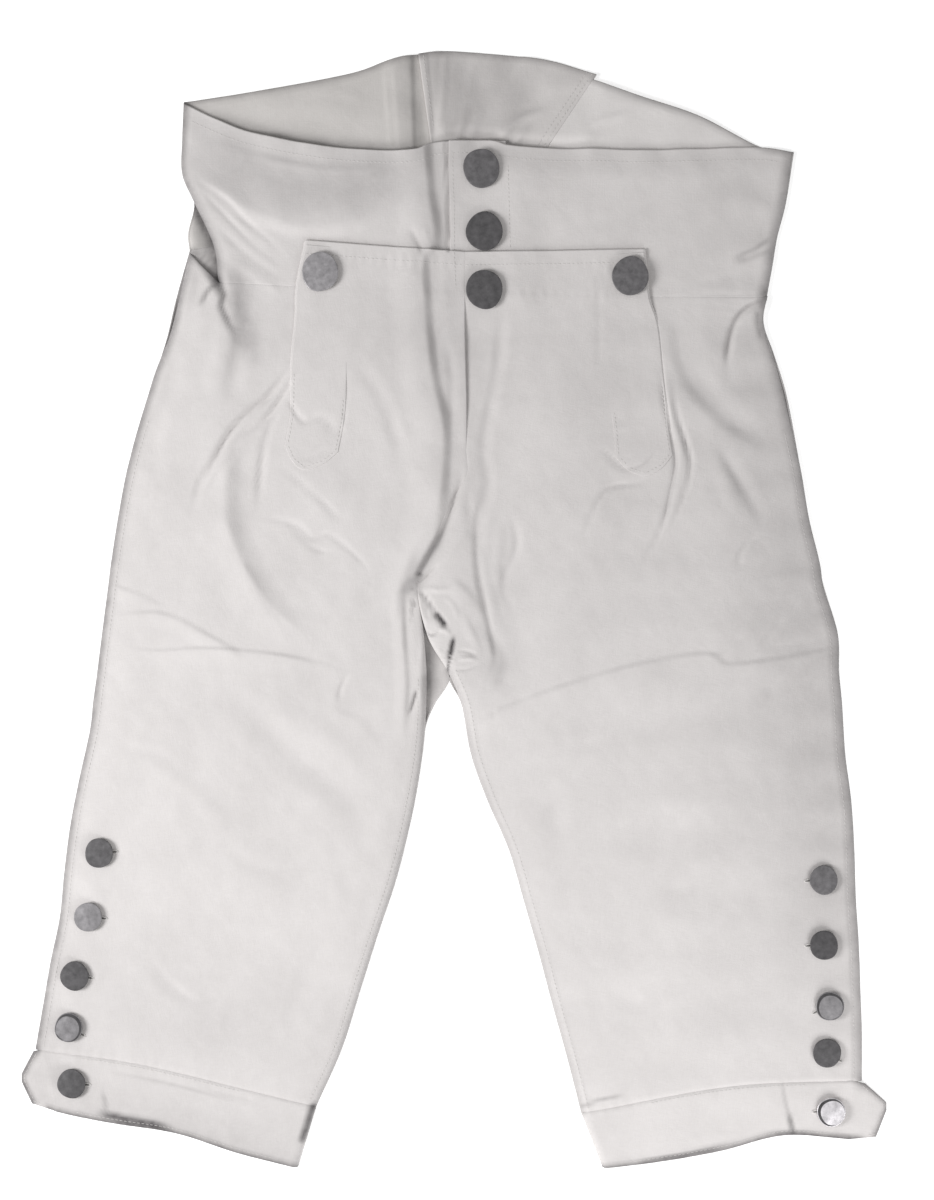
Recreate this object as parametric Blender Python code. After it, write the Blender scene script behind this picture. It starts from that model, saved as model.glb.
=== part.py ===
"""Knee breeches of white cotton drill, buttoned up and laid flat on their back.

The frame: X towards the wearer's left, Y towards the waist, Z up. The table under the breeches is
Z = 0, and X = Y = 0 is the middle of the garment's own outline. All tables and lengths are in
millimetres; MM turns them into Blender's metres.

Every cloth piece is one wall of even thickness. Its outer face is a grid of points, drawn between
four edges, and each point knows the way inward, so the inner face is the outer one moved inward.
The back pieces lie on the table with their outer face down. The front pieces lie on them, with
the largest folds raised, and both roll together to a seam at the sides.
"""

import math
from collections import namedtuple

import bpy
from mathutils import Vector
from mathutils.bvhtree import BVHTree

MM = 0.001

# Cloth and layers
CLOTH = 1.2  # thickness of one wall
SEAM_GAP = 0.3  # between two pieces where they are sewn
LAID_GAP = 0.8  # between a piece and the one laid on it
PLY = CLOTH + LAID_GAP
FRONT_LEVEL = 4.2  # outer face of the front layer over the table, away from its folds
BACK_LEVEL = 0.0  # outer face of the back layer: it lies on the table
SEAM_LEVEL = 2.2  # height of the side seams and inseams
LOWEST_FRONT = 3.0  # the front layer's outer face never sinks below this
ROLL_ANGLES = (0, 30, 60, 90)  # degrees round the rolled edge at a seam, from its tip to the flat
FACING_DOWN = 1  # the inner face lies above the outer face
FACING_UP = -1

# Buttons
FRONT_BUTTON = 25.0
KNEE_BUTTON = 19.0
BUTTON_SIDES = 16

# Colours, roughness and metallic values
DRILL = (0.72, 0.70, 0.67)
DRILL_INSIDE = (0.64, 0.62, 0.59)
PEWTER = (0.13, 0.13, 0.14)

# A fold is a ridge, or a trough where its height is negative, along a straight crest.
Fold = namedtuple("Fold", "x0 y0 x1 y1 half_width height")

WAIST_FOLDS = (
    Fold(-150, 318, -24, 303, 18, 3.0),  # the right top edge stands off the back
    Fold(110, 303, 200, 303, 22, 1.2),  # the left top edge, less so
    Fold(-170, 284, -118, 236, 15, 2.4),  # a drag fold from the side to the fall's corner
    Fold(-140, 284, -60, 280, 16, -0.9),  # the hollow above it
    Fold(186, 240, 212, 244, 14, 1.6),  # short fold at the left side
)

LEG_FOLDS = (
    Fold(-28, 228, -20, 138, 17, 3.0),  # deep fold beside the centre-front seam
    Fold(-20, 138, -16, 90, 17, 3.0),
    Fold(-16, 90, -36, 22, 15, 2.4),
    Fold(36, 226, 30, 130, 18, 1.6),  # its shallow mate on the left half
    Fold(30, 130, 22, -60, 17, 2.4),
    Fold(-172, 196, -146, 178, 14, 1.8),  # fullness below the right waist seam
    Fold(-118, 118, -140, 84, 15, 1.8),  # pulls below the right placket
    Fold(-152, 96, -150, 44, 18, -0.9),
    Fold(-126, 84, -122, 44, 17, 1.8),
    Fold(-122, 44, -66, -6, 17, 1.8),
    Fold(-140, 16, -72, -42, 18, -0.9),
    Fold(-158, -60, -74, -126, 22, -0.9),  # slack across the right thigh
    Fold(-136, -74, -50, -110, 20, 1.6),
    Fold(-66, -140, -60, -216, 20, 1.6),
    Fold(146, 188, 168, 128, 15, 1.6),  # pulls beside the left slit
    Fold(178, 118, 214, 104, 15, 1.4),
    Fold(112, 78, 92, 56, 14, 1.2),
    Fold(34, -70, 124, -44, 17, 2.0),  # slack across the left thigh
    Fold(124, -44, 238, -36, 17, 1.8),
    Fold(72, -110, 74, -180, 20, 1.2),
)

# Front legs. The rows run down the leg, from the end of the slit to the knee seam. "Inner" is the
# centre-front seam, then the fork, then the inseam, and roll says how far it rolls to the back.
LegRow = namedtuple("LegRow", "outer_x outer_y inner_x inner_y roll")

FRONT_ROWS = {
    "right": (
        LegRow(-207, 126, 8, 105, 0),
        LegRow(-216, 94, 8, 88, 0),
        LegRow(-222, 63, -4, 67, 0),
        LegRow(-227, 31, -16, 35, 0),
        LegRow(-229, 15, -24, 15, 0),
        LegRow(-233, -16, -20, -16, 0.6),
        LegRow(-236, -40, -18, -46, 1),
        LegRow(-241, -80, -19, -80, 1),
        LegRow(-248, -112, -23, -112, 1),
        LegRow(-254, -143, -29, -143, 1),
        LegRow(-258, -174, -38, -179, 1),
        LegRow(-261, -204, -50, -215, 1),
        LegRow(-267, -233, -62, -253, 1),
        LegRow(-272, -262, -74, -291, 1),
        LegRow(-277, -291, -91, -329, 1),
    ),
    "left": (
        LegRow(224, 118, 8, 105, 0),
        LegRow(230, 90, 8, 88, 0),
        LegRow(235, 60, -4, 67, 0),
        LegRow(242, 31, -16, 35, 0),
        LegRow(245, 13, -24, 15, 0),
        LegRow(254, -16, -12, -18, 0.6),
        LegRow(255, -42, -2, -42, 1),
        LegRow(257, -64, 5, -64, 1),
        LegRow(259, -96, 11, -96, 1),
        LegRow(263, -127, 22, -127, 1),
        LegRow(265, -159, 36, -159, 1),
        LegRow(266, -191, 46, -193, 1),
        LegRow(268, -222, 56, -228, 1),
        LegRow(269, -251, 65, -262, 1),
        LegRow(270, -280, 75, -298, 1),
        LegRow(270, -312, 84, -333, 1),
    ),
}

# Back legs, from the waistband seam down: the centre-back seam, then the inseam.
BACK_ROWS = {
    "right": (
        LegRow(-175, 237, -8.5, 272, 0),
        LegRow(-184, 205, -3.9, 240, 0),
        LegRow(-191, 176, 0, 212, 0),
        LegRow(-203, 140, 0, 164, 0),
        LegRow(-214, 102, 0, 120, 0),
        LegRow(-222, 63, -1, 70, 0),
        LegRow(-228, 22, -2, 20, 0),
        LegRow(-233, -16, -3, -24, 0),
        LegRow(-236, -40, -3, -46, 0),
        LegRow(-239, -62, -13, -64, 0.7),
        LegRow(-241, -80, -19, -80, 1),
        LegRow(-248, -112, -23, -112, 1),
        LegRow(-254, -143, -29, -143, 1),
        LegRow(-258, -174, -38, -179, 1),
        LegRow(-261, -204, -50, -215, 1),
        LegRow(-267, -233, -62, -253, 1),
        LegRow(-272, -262, -74, -291, 1),
        LegRow(-277, -291, -91, -329, 1),
    ),
    "left": (
        LegRow(207, 206, 40, 272, 0),
        LegRow(205, 189, 18.7, 240, 0),
        LegRow(212, 168, 0, 212, 0),
        LegRow(220, 142, 0, 164, 0),
        LegRow(227, 106, 0, 120, 0),
        LegRow(235, 60, -1, 70, 0),
        LegRow(244, 18, -2, 20, 0),
        LegRow(254, -16, -3, -24, 0),
        LegRow(255, -42, -3, -46, 0),
        LegRow(257, -64, 5, -64, 0.7),
        LegRow(259, -96, 11, -96, 1),
        LegRow(263, -127, 22, -127, 1),
        LegRow(265, -159, 36, -159, 1),
        LegRow(266, -191, 46, -193, 1),
        LegRow(268, -222, 56, -228, 1),
        LegRow(269, -251, 65, -262, 1),
        LegRow(270, -280, 75, -298, 1),
        LegRow(270, -312, 84, -333, 1),
    ),
}

# The bend of the knee seam between its ends.
KNEE_BEND = {"right": (-201, -302), "left": (182, -315)}

# The part of a front leg beside the slit, from the waist seam to the end of the slit.
SideRow = namedtuple("SideRow", "outer_x outer_y slit_x slit_y")

SIDE_ROWS = {
    "right": (
        SideRow(-182, 217, -104, 213),
        SideRow(-187, 185, -105, 191),
        SideRow(-198, 156, -108, 160),
        SideRow(-207, 126, -108, 125),
    ),
    "left": (
        SideRow(207, 206, 129, 206),
        SideRow(205, 189, 135, 187),
        SideRow(215, 155, 139, 152),
        SideRow(224, 118, 143, 118),
    ),
}

# Half of the fall, from its top edge to the end of the slit. Lift says how much of the waistband's
# thickness it rides over.
FallRow = namedtuple("FallRow", "slit_x slit_y centre_x centre_y lift")

FALL_ROWS = {
    "right": (
        FallRow(-98, 243, 7, 235, 1),
        FallRow(-104, 213, 7, 206, 1),
        FallRow(-105, 191, 7, 178, 0.6),
        FallRow(-108, 160, 8, 138, 0.25),
        FallRow(-108, 125, 8, 105, 0),
    ),
    "left": (
        FallRow(126, 237, 7, 235, 1),
        FallRow(129, 206, 7, 206, 1),
        FallRow(135, 187, 7, 178, 0.6),
        FallRow(139, 152, 8, 138, 0.25),
        FallRow(143, 118, 8, 105, 0),
    ),
}

# Waistbands: their top edge, bottom seam, side seam and the end at the centre.
FRONT_BANDS = {
    "right": {
        "top": ((-179, 334), (-158, 324), (-135, 315), (-102, 308), (-69, 304), (-28, 303),
                (-14, 308), (8, 309), (34, 309)),
        "bottom": ((-156, 215.7), (-141, 214.9), (-127, 214.2), (-104, 213), (-69, 212), (-28, 211),
                   (-14, 211), (8, 210), (34, 210)),
        "outer": ((-179, 334), (-180, 310), (-180, 288), (-172, 269), (-159, 240), (-156, 215.7)),
        "inner": ((34, 309), (34, 289), (34, 269), (34, 250), (34, 230), (34, 210)),
    },
    "left": {
        "top": ((224, 302), (202, 305), (162, 304), (123, 303), (95, 304), (67, 304), (37, 306),
                (24, 309), (-3, 309)),
        "bottom": ((207, 206), (192, 206), (162, 206), (129, 206), (95, 207), (67, 208), (37, 209),
                   (24, 210), (-1, 210)),
        "outer": ((224, 302), (220, 270), (214, 246), (211, 228), (207, 206)),
        "inner": ((-3, 309), (-3, 284), (-2, 260), (-2, 235), (-1, 210)),
    },
}

BACK_BANDS = {
    "right": {
        "top": ((-179, 335), (-127, 343), (-69, 354), (-43, 363), (-22, 367)),
        "bottom": ((-175, 237), (-127, 247.1), (-72, 258.7), (-39, 265.6), (-8.5, 272)),
        "outer": ((-179, 335), (-180, 310), (-180, 288), (-172, 269), (-176, 249), (-175, 237)),
        "inner": ((-22, 367), (-19.3, 348), (-16.6, 329), (-13.9, 310), (-11.2, 291), (-8.5, 272)),
    },
    "left": {
        "top": ((225, 302), (202, 306), (162, 326), (123, 339), (92, 350)),
        "bottom": ((207, 206), (170, 220.6), (130, 236.4), (83, 255), (40, 272)),
        "outer": ((225, 302), (220, 270), (214, 246), (211, 228), (207, 206)),
        "inner": ((92, 350), (79, 330.5), (66, 311), (53, 291.5), (40, 272)),
    },
}

# The gusset is a V from the back's top edge down to the head of the centre-back seam.
GUSSET = {
    "top": ((-21.6, 367), (-8, 369), (13, 368), (47, 365), (67, 362), (95.4, 356)),
    "bottom": ((-0.2, 216), (0.3, 216), (0.8, 216), (1.3, 216), (1.8, 216), (2.2, 216)),
    "outer": ((-21.6, 367), (-14.5, 316.7), (-7.3, 266.3), (-0.2, 216)),
    "inner": ((95.4, 356), (64.3, 309.3), (33.3, 262.7), (2.2, 216)),
}

# The straps that stay the fall's slits, ending in a point.
FALL_PLACKETS = {
    "right": {
        "top": ((-97, 240), (-84, 239), (-69, 238)),
        "bottom": ((-112, 108), (-98, 92), (-77, 104)),
        "outer": ((-97, 240), (-103, 213), (-104, 191), (-107, 160), (-108, 130), (-112, 108)),
        "inner": ((-69, 238), (-70, 213), (-71, 191), (-71, 160), (-72, 130), (-77, 104)),
    },
    "left": {
        "top": ((125, 235), (110, 234), (94, 233)),
        "bottom": ((144, 102), (126, 88), (108, 98)),
        "outer": ((125, 235), (128, 206), (134, 187), (138, 152), (141, 122), (144, 102)),
        "inner": ((94, 233), (95, 206), (98, 187), (101, 152), (105, 122), (108, 98)),
    },
}

# Knee bands: the hem from the outer end of the leg to its inner edge, and the tab past that end.
HEMS = {
    "right": ((-268, -331), (-226, -339), (-183, -346), (-143, -359), (-103, -369)),
    "left": ((268, -351), (219, -347), (176, -357), (137, -364), (98, -369)),
}
TAB_TIPS = {"right": ((-286, -308), (-286, -313)), "left": ((286, -327), (286, -332))}
TAB_ROOTS = {"right": ((-278, -293), (-279, -327)), "left": ((272, -314.5), (279, -349))}
TAB_LEVELS = (1.6, 2.9)  # outer face over the table at the tab's tip and root
BAND_LEVEL = 3.9  # and where the band reaches the leg

ButtonPlace = namedtuple("ButtonPlace", "name x y diameter")

BUTTON_PLACES = (
    ButtonPlace("front_button_1", 18, 290, FRONT_BUTTON),
    ButtonPlace("front_button_2", 20, 248.6, FRONT_BUTTON),
    ButtonPlace("front_button_3", 20, 210, FRONT_BUTTON),
    ButtonPlace("fall_button_right", -88, 222, FRONT_BUTTON),
    ButtonPlace("fall_button_left", 116, 219, FRONT_BUTTON),
    ButtonPlace("knee_button_right_1", -234, -161, KNEE_BUTTON),
    ButtonPlace("knee_button_right_2", -241, -203, KNEE_BUTTON),
    ButtonPlace("knee_button_right_3", -250, -242, KNEE_BUTTON),
    ButtonPlace("knee_button_right_4", -254, -276, KNEE_BUTTON),
    ButtonPlace("knee_button_right_5", -252, -313, KNEE_BUTTON),
    ButtonPlace("knee_button_left_1", 244, -179, KNEE_BUTTON),
    ButtonPlace("knee_button_left_2", 244, -222, KNEE_BUTTON),
    ButtonPlace("knee_button_left_3", 248, -262, KNEE_BUTTON),
    ButtonPlace("knee_button_left_4", 246, -293, KNEE_BUTTON),
    ButtonPlace("knee_button_left_5", 249, -332, KNEE_BUTTON),
)


def smoothstep(value):
    value = min(max(value, 0.0), 1.0)
    return value * value * (3 - 2 * value)


def folds_height(folds, x, y):
    """Sum of the folds at a point. Each falls off as a cosine on both sides of its crest."""
    total = 0.0
    for fold in folds:
        along_x = fold.x1 - fold.x0
        along_y = fold.y1 - fold.y0
        length_squared = along_x**2 + along_y**2
        place = ((x - fold.x0) * along_x + (y - fold.y0) * along_y) / length_squared
        place = min(max(place, 0.0), 1.0)
        away = math.hypot(x - fold.x0 - place * along_x, y - fold.y0 - place * along_y)
        if away < fold.half_width:
            total += fold.height * 0.5 * (1 + math.cos(math.pi * away / fold.half_width))
    return total


def band_level(x, y):
    return max(FRONT_LEVEL + folds_height(WAIST_FOLDS, x, y), LOWEST_FRONT)


def leg_level(x, y):
    height = FRONT_LEVEL + folds_height(WAIST_FOLDS, x, y) + folds_height(LEG_FOLDS, x, y)
    return max(height, LOWEST_FRONT)


def overlap_lift(x):
    """How far the lap of the left waistband over the right one lifts what lies on it."""
    lap_start, lap_end = -19, 37
    run_in, run_out = 27, 30
    if x < lap_start:
        return PLY * smoothstep(1 + (x - lap_start) / run_in)
    return PLY * smoothstep(1 - (x - lap_end) / run_out)


def along(points, place):
    """Point on a polyline, by its place counted in listed points: 1.5 is midway from 1 to 2."""
    index = min(int(place), len(points) - 2)
    part = place - index
    (x0, y0), (x1, y1) = points[index], points[index + 1]
    return x0 + part * (x1 - x0), y0 + part * (y1 - y0)


Column = namedtuple("Column", "place angle end")


def columns(last, steps, outer_roll, inner_roll):
    """Places of the columns of a grid, with the angle round a rolled edge that each stands at.

    A roll is given by its width, in the same count of listed points; 0 is an edge left plain.
    """
    start = [Column(outer_roll * (1 - math.cos(math.radians(a))), a, "outer") for a in ROLL_ANGLES]
    finish = [
        Column(last - inner_roll * (1 - math.cos(math.radians(a))), a, "inner")
        for a in reversed(ROLL_ANGLES)
    ]
    flat = [Column(place, 90, "outer") for place in steps]
    return (start[:-1] if outer_roll else []) + flat + (finish[1:] if inner_roll else [])


def spread(start, end, count):
    return [start + (end - start) * step / count for step in range(count + 1)]


def patch(edges, places, rows):
    """Grid of points between four edges (a Coons patch), as rows from the top to the bottom."""
    top, bottom, outer, inner = edges["top"], edges["bottom"], edges["outer"], edges["inner"]
    last_place = len(top) - 1
    grid = []
    for row in rows:
        v = row / (len(outer) - 1)
        ox, oy = along(outer, row)
        ix, iy = along(inner, row)
        line = []
        for place in places:
            u = place / last_place
            tx, ty = along(top, place)
            bx, by = along(bottom, place)
            point = []
            for t, b, o, i, c in (
                (tx, bx, ox, ix, (top[0][0], top[-1][0], bottom[0][0], bottom[-1][0])),
                (ty, by, oy, iy, (top[0][1], top[-1][1], bottom[0][1], bottom[-1][1])),
            ):
                corners = (1 - v) * ((1 - u) * c[0] + u * c[1]) + v * ((1 - u) * c[2] + u * c[3])
                point.append((1 - v) * t + v * b + (1 - u) * o + u * i - corners)
            line.append(tuple(point))
        grid.append(line)
    return grid


class Skin:
    """The outer face of a piece, as points that know the way inward, and quads between them."""

    def __init__(self):
        self.points = []
        self.inward = []
        self.quads = []
        self.numbers = {}

    def number(self, point, inward):
        key = tuple(round(value, 2) for value in point)
        if key not in self.numbers:
            self.numbers[key] = len(self.points)
            self.points.append(Vector(point))
            self.inward.append(Vector(inward).normalized())
        return self.numbers[key]

    def add(self, rows):
        """Add a grid, given as rows of (point, inward). Points shared with another grid join it."""
        numbered = [[self.number(point, inward) for point, inward in row] for row in rows]
        for upper, lower in zip(numbered, numbered[1:]):
            for a, b, c, d in zip(upper, upper[1:], lower[1:], lower):
                self.quads.append((a, b, c, d))

    def tree(self):
        return BVHTree.FromPolygons(self.points, self.quads)


def laid_rows(flat, cols, level, facing, rolls, lifts=None):
    """Give a flat grid its height and its rolled edges.

    level(x, y) is the height of the outer face. rolls has, for each row, how far the outer and
    the inner edge turn towards the seam, and lifts what is added to the row's level.
    """
    result = []
    for number, line in enumerate(flat):
        run = Vector((line[-1][0] - line[0][0], line[-1][1] - line[0][1], 0)).normalized()
        outer_roll, inner_roll = rolls[number]
        row = []
        for (x, y), column in zip(line, cols):
            roll = outer_roll if column.end == "outer" else inner_roll
            turn = roll * (1 - math.sin(math.radians(column.angle)))
            sideways = roll * math.cos(math.radians(column.angle))
            height = level(x, y) + (lifts[number](x) if lifts else 0)
            seam = SEAM_LEVEL - facing * SEAM_GAP / 2
            inward = run * (sideways if column.end == "outer" else -sideways)
            inward.z = facing * (1 - turn)
            row.append(((x, y, height + turn * (seam - height)), inward))
        result.append(row)
    return result


def material(name, colour, roughness, metallic):
    made = bpy.data.materials.new(name)
    made.use_nodes = True
    shader = made.node_tree.nodes["Principled BSDF"]
    shader.inputs["Base Color"].default_value = (*colour, 1)
    shader.inputs["Roughness"].default_value = roughness
    shader.inputs["Metallic"].default_value = metallic
    made.diffuse_color = (*colour, 1)
    return made


def add_object(name, points, faces, finish):
    """A mesh object from points in millimetres, its faces turned outward and shaded smooth."""
    mesh = bpy.data.meshes.new(name)
    mesh.from_pydata([point * MM for point in points], [], faces)
    volume = sum(
        points[face[0]].dot(points[b].cross(points[c]))
        for face in faces
        for b, c in zip(face[1:], face[2:])
    )
    if volume < 0:
        mesh.flip_normals()
    mesh.validate()
    mesh.shade_smooth()
    mesh.set_sharp_from_angle(angle=math.radians(50))
    mesh.materials.append(finish)
    made = bpy.data.objects.new(name, mesh)
    bpy.context.scene.collection.objects.link(made)
    return made


def cloth_piece(name, skin, colour=DRILL):
    """Close a skin into a wall: the inner face, and a rim along every free edge."""
    count = len(skin.points)
    inner = [point + inward * CLOTH for point, inward in zip(skin.points, skin.inward)]
    faces = [tuple(quad) for quad in skin.quads]
    faces += [tuple(count + corner for corner in reversed(quad)) for quad in skin.quads]
    directed = {(a, b) for quad in skin.quads for a, b in zip(quad, quad[1:] + quad[:1])}
    for a, b in sorted(directed):
        if (b, a) not in directed:
            faces.append((b, a, count + a, count + b))
    return add_object(name, skin.points + inner, faces, material(name, colour, 0.9, 0.0))


def points_of(rows, *names):
    return [tuple(getattr(row, name) for name in names) for row in rows]


# Columns across a leg, in the count outer edge = 0, slit = 1, centre or inseam = 2.
OUTER_ROLL = 0.07
INNER_ROLL = 0.06
SIDE_STEPS = spread(OUTER_ROLL, 1, 5)
FALL_STEPS = spread(0, 1 - INNER_ROLL, 6)
SIDE_COLUMNS = columns(1, SIDE_STEPS, OUTER_ROLL, 0)
FALL_COLUMNS = columns(1, FALL_STEPS, 0, INNER_ROLL)
LEG_COLUMNS = columns(2, SIDE_STEPS + [1 + step for step in FALL_STEPS[1:]], OUTER_ROLL, INNER_ROLL)


def places_of(cols):
    return [column.place for column in cols]


def pulled_in(points, towards, keep_last):
    """Edge points moved half a seam gap along X towards the piece, all or all but the last."""
    step = math.copysign(SEAM_GAP / 2, towards)
    moved = [(x + step, y) for x, y in points]
    return moved[:-1] + [points[-1]] if keep_last else moved


def dropped(points, step):
    return [(x, y + step) for x, y in points]


def roll_at(rows, place):
    """How far the inner edge rolls at a place between two listed rows."""
    index = min(int(place), len(rows) - 2)
    part = place - index
    return rows[index].roll * (1 - part) + rows[index + 1].roll * part


def front_leg(side):
    """A front leg in one piece with its half of the fall, from three patches joined at the slit."""
    rows = FRONT_ROWS[side]
    side_rows = SIDE_ROWS[side]
    fall_rows = FALL_ROWS[side]
    inwards = 1 if side == "right" else -1
    skin = Skin()

    outer = points_of(side_rows, "outer_x", "outer_y")
    slit = pulled_in(points_of(side_rows, "slit_x", "slit_y"), -inwards, keep_last=True)
    outer[0], slit[0] = dropped((outer[0], slit[0]), -SEAM_GAP / 2)
    edges = {"top": (outer[0], slit[0]), "bottom": (outer[-1], slit[-1]), "outer": outer, "inner": slit}
    flat = patch(edges, places_of(SIDE_COLUMNS), range(len(outer)))
    beside = laid_rows(flat, SIDE_COLUMNS, leg_level, FACING_UP, [(1, 0)] * len(outer))
    skin.add(beside)

    slit = pulled_in(points_of(fall_rows, "slit_x", "slit_y"), inwards, keep_last=True)
    centre = pulled_in(points_of(fall_rows, "centre_x", "centre_y"), -inwards, keep_last=False)
    edges = {"top": (slit[0], centre[0]), "bottom": (slit[-1], centre[-1]), "outer": slit,
             "inner": centre}
    flat = patch(edges, places_of(FALL_COLUMNS), range(len(slit)))
    lifts = [lambda x, lift=row.lift: lift * (PLY + overlap_lift(x)) for row in fall_rows]
    fall = laid_rows(flat, FALL_COLUMNS, leg_level, FACING_UP, [(0, 0)] * len(slit), lifts)
    skin.add(fall)

    outer = points_of(rows, "outer_x", "outer_y")
    inner = pulled_in(points_of(rows, "inner_x", "inner_y"), -inwards, keep_last=False)
    edges = {"top": (outer[0], slit[-1], inner[0]), "bottom": (outer[-1], KNEE_BEND[side], inner[-1]),
             "outer": outer, "inner": inner}
    last = len(outer) - 1
    places = spread(0, last, 2 * last)
    flat = patch(edges, places_of(LEG_COLUMNS), places)
    rolls = [(1, roll_at(rows, place)) for place in places]
    leg = laid_rows(flat, LEG_COLUMNS, leg_level, FACING_UP, rolls)
    leg[0] = beside[-1] + fall[-1][1:]
    skin.add(leg)
    return skin, flat[-1]


def back_leg(side):
    rows = BACK_ROWS[side]
    inwards = 1 if side == "right" else -1
    outer = points_of(rows, "outer_x", "outer_y")
    inner = pulled_in(points_of(rows, "inner_x", "inner_y"), -inwards, keep_last=False)
    outer[0], inner[0] = dropped((outer[0], inner[0]), -SEAM_GAP / 2)
    middle = ((outer[0][0] + inner[0][0]) / 2, (outer[0][1] + inner[0][1]) / 2)
    edges = {"top": (outer[0], middle, inner[0]), "bottom": (outer[-1], KNEE_BEND[side], inner[-1]),
             "outer": outer, "inner": inner}
    flat = patch(edges, places_of(LEG_COLUMNS), range(len(outer)))
    skin = Skin()
    rolls = [(1, row.roll) for row in rows]
    skin.add(laid_rows(flat, LEG_COLUMNS, lambda x, y: BACK_LEVEL, FACING_DOWN, rolls))
    return skin


def shrunk(edges, side):
    """The edges of a band with half a seam gap taken off at its bottom and centre seams."""
    towards = -1 if side == "right" else 1
    bottom = dropped(edges["bottom"], SEAM_GAP / 2)
    inner = pulled_in(edges["inner"], towards, keep_last=False)
    outer = list(edges["outer"])
    top = list(edges["top"])
    top[-1] = inner[0]
    outer[-1] = bottom[0]
    bottom[-1] = inner[-1] = (inner[-1][0], bottom[-1][1])
    return {"top": top, "bottom": bottom, "outer": outer, "inner": inner}


def band(edges, side, level, facing, roll_width, lift=None):
    edges = shrunk(edges, side)
    last = len(edges["top"]) - 1
    cols = columns(last, [roll_width] + spread(1, last, last - 1), roll_width, 0)
    flat = patch(edges, places_of(cols), range(len(edges["outer"])))
    lifts = [lift] * len(flat) if lift else None
    skin = Skin()
    skin.add(laid_rows(flat, cols, level, facing, [(1, 0)] * len(flat), lifts))
    return skin


def gusset():
    cols = columns(5, spread(0, 5, 5), 0, 0)
    flat = patch(GUSSET, places_of(cols), range(len(GUSSET["outer"])))
    skin = Skin()
    skin.add(laid_rows(flat, cols, lambda x, y: BACK_LEVEL, FACING_DOWN, [(0, 0)] * len(flat)))
    return skin


def knee_band(side, leg_hem):
    """One strip: the tab, the front of the band, the turn round the inseam, and the back."""
    hem = HEMS[side]
    hem_points = 2  # listed points of the hem for each one of the knee seam
    seam = dropped(leg_hem, -SEAM_GAP)
    skin = Skin()
    row = []

    def strip(upper, lower, height, inward):
        """One line of the strip, from the knee seam to the hem."""
        line = []
        for part in (0, 0.5, 1):
            x = upper[0] + part * (lower[0] - upper[0])
            y = upper[1] + part * (lower[1] - upper[1])
            line.append(((x, y, height(x, y)), inward))
        row.append(line)

    down = Vector((0, 0, -1))
    up = Vector((0, 0, 1))
    strip(*TAB_TIPS[side], lambda x, y: TAB_LEVELS[0], down)
    strip(*TAB_ROOTS[side], lambda x, y: TAB_LEVELS[1], down)
    flat_start = len(ROLL_ANGLES) - 1
    run = Vector((seam[-1][0] - seam[0][0], seam[-1][1] - seam[0][1], 0)).normalized()
    front = list(zip(seam, LEG_COLUMNS))[flat_start:]
    for number, (upper, column) in enumerate(front):
        lower = along(hem, column.place * hem_points)
        angle = math.radians(column.angle)
        turned = column.end == "inner"
        inward = down * math.sin(angle) - run * math.cos(angle) if turned else down
        settled = smoothstep(number / 2)

        def height(x, y):
            flat = BAND_LEVEL + settled * (leg_level(x, y) - BAND_LEVEL)
            return SEAM_LEVEL + (flat - SEAM_LEVEL) * math.sin(angle) if turned else flat

        strip(upper, lower, height, inward)
    back = list(zip(seam, LEG_COLUMNS))[flat_start:-1]
    for upper, column in reversed(back):
        lower = along(hem, column.place * hem_points)
        angle = math.radians(column.angle)
        turned = column.end == "inner"
        inward = up * math.sin(angle) - run * math.cos(angle) if turned else up
        rise = SEAM_LEVEL * (1 - math.sin(angle)) if turned else BACK_LEVEL
        strip(upper, lower, lambda x, y: rise, inward)
    skin.add(row)
    return skin


def lie_on(trees, x, y, reach):
    """Height of the highest cloth within reach of a point."""
    highest = 0.0
    for step_x in (-reach, 0, reach):
        for step_y in (-reach, 0, reach):
            for tree in trees:
                hit = tree.ray_cast(Vector((x + step_x, y + step_y, 100)), Vector((0, 0, -1)))[0]
                if hit:
                    highest = max(highest, hit.z)
    return highest


def fall_placket(side, trees):
    edges = FALL_PLACKETS[side]
    cols = columns(2, spread(0, 2, 4), 0, 0)
    flat = patch(edges, places_of(cols), spread(0, len(edges["outer"]) - 1, 12))
    down = Vector((0, 0, -1))
    near = 3.0
    skin = Skin()
    skin.add([[((x, y, lie_on(trees, x, y, near) + CLOTH + SEAM_GAP), down) for x, y in line]
              for line in flat])
    return skin


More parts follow.
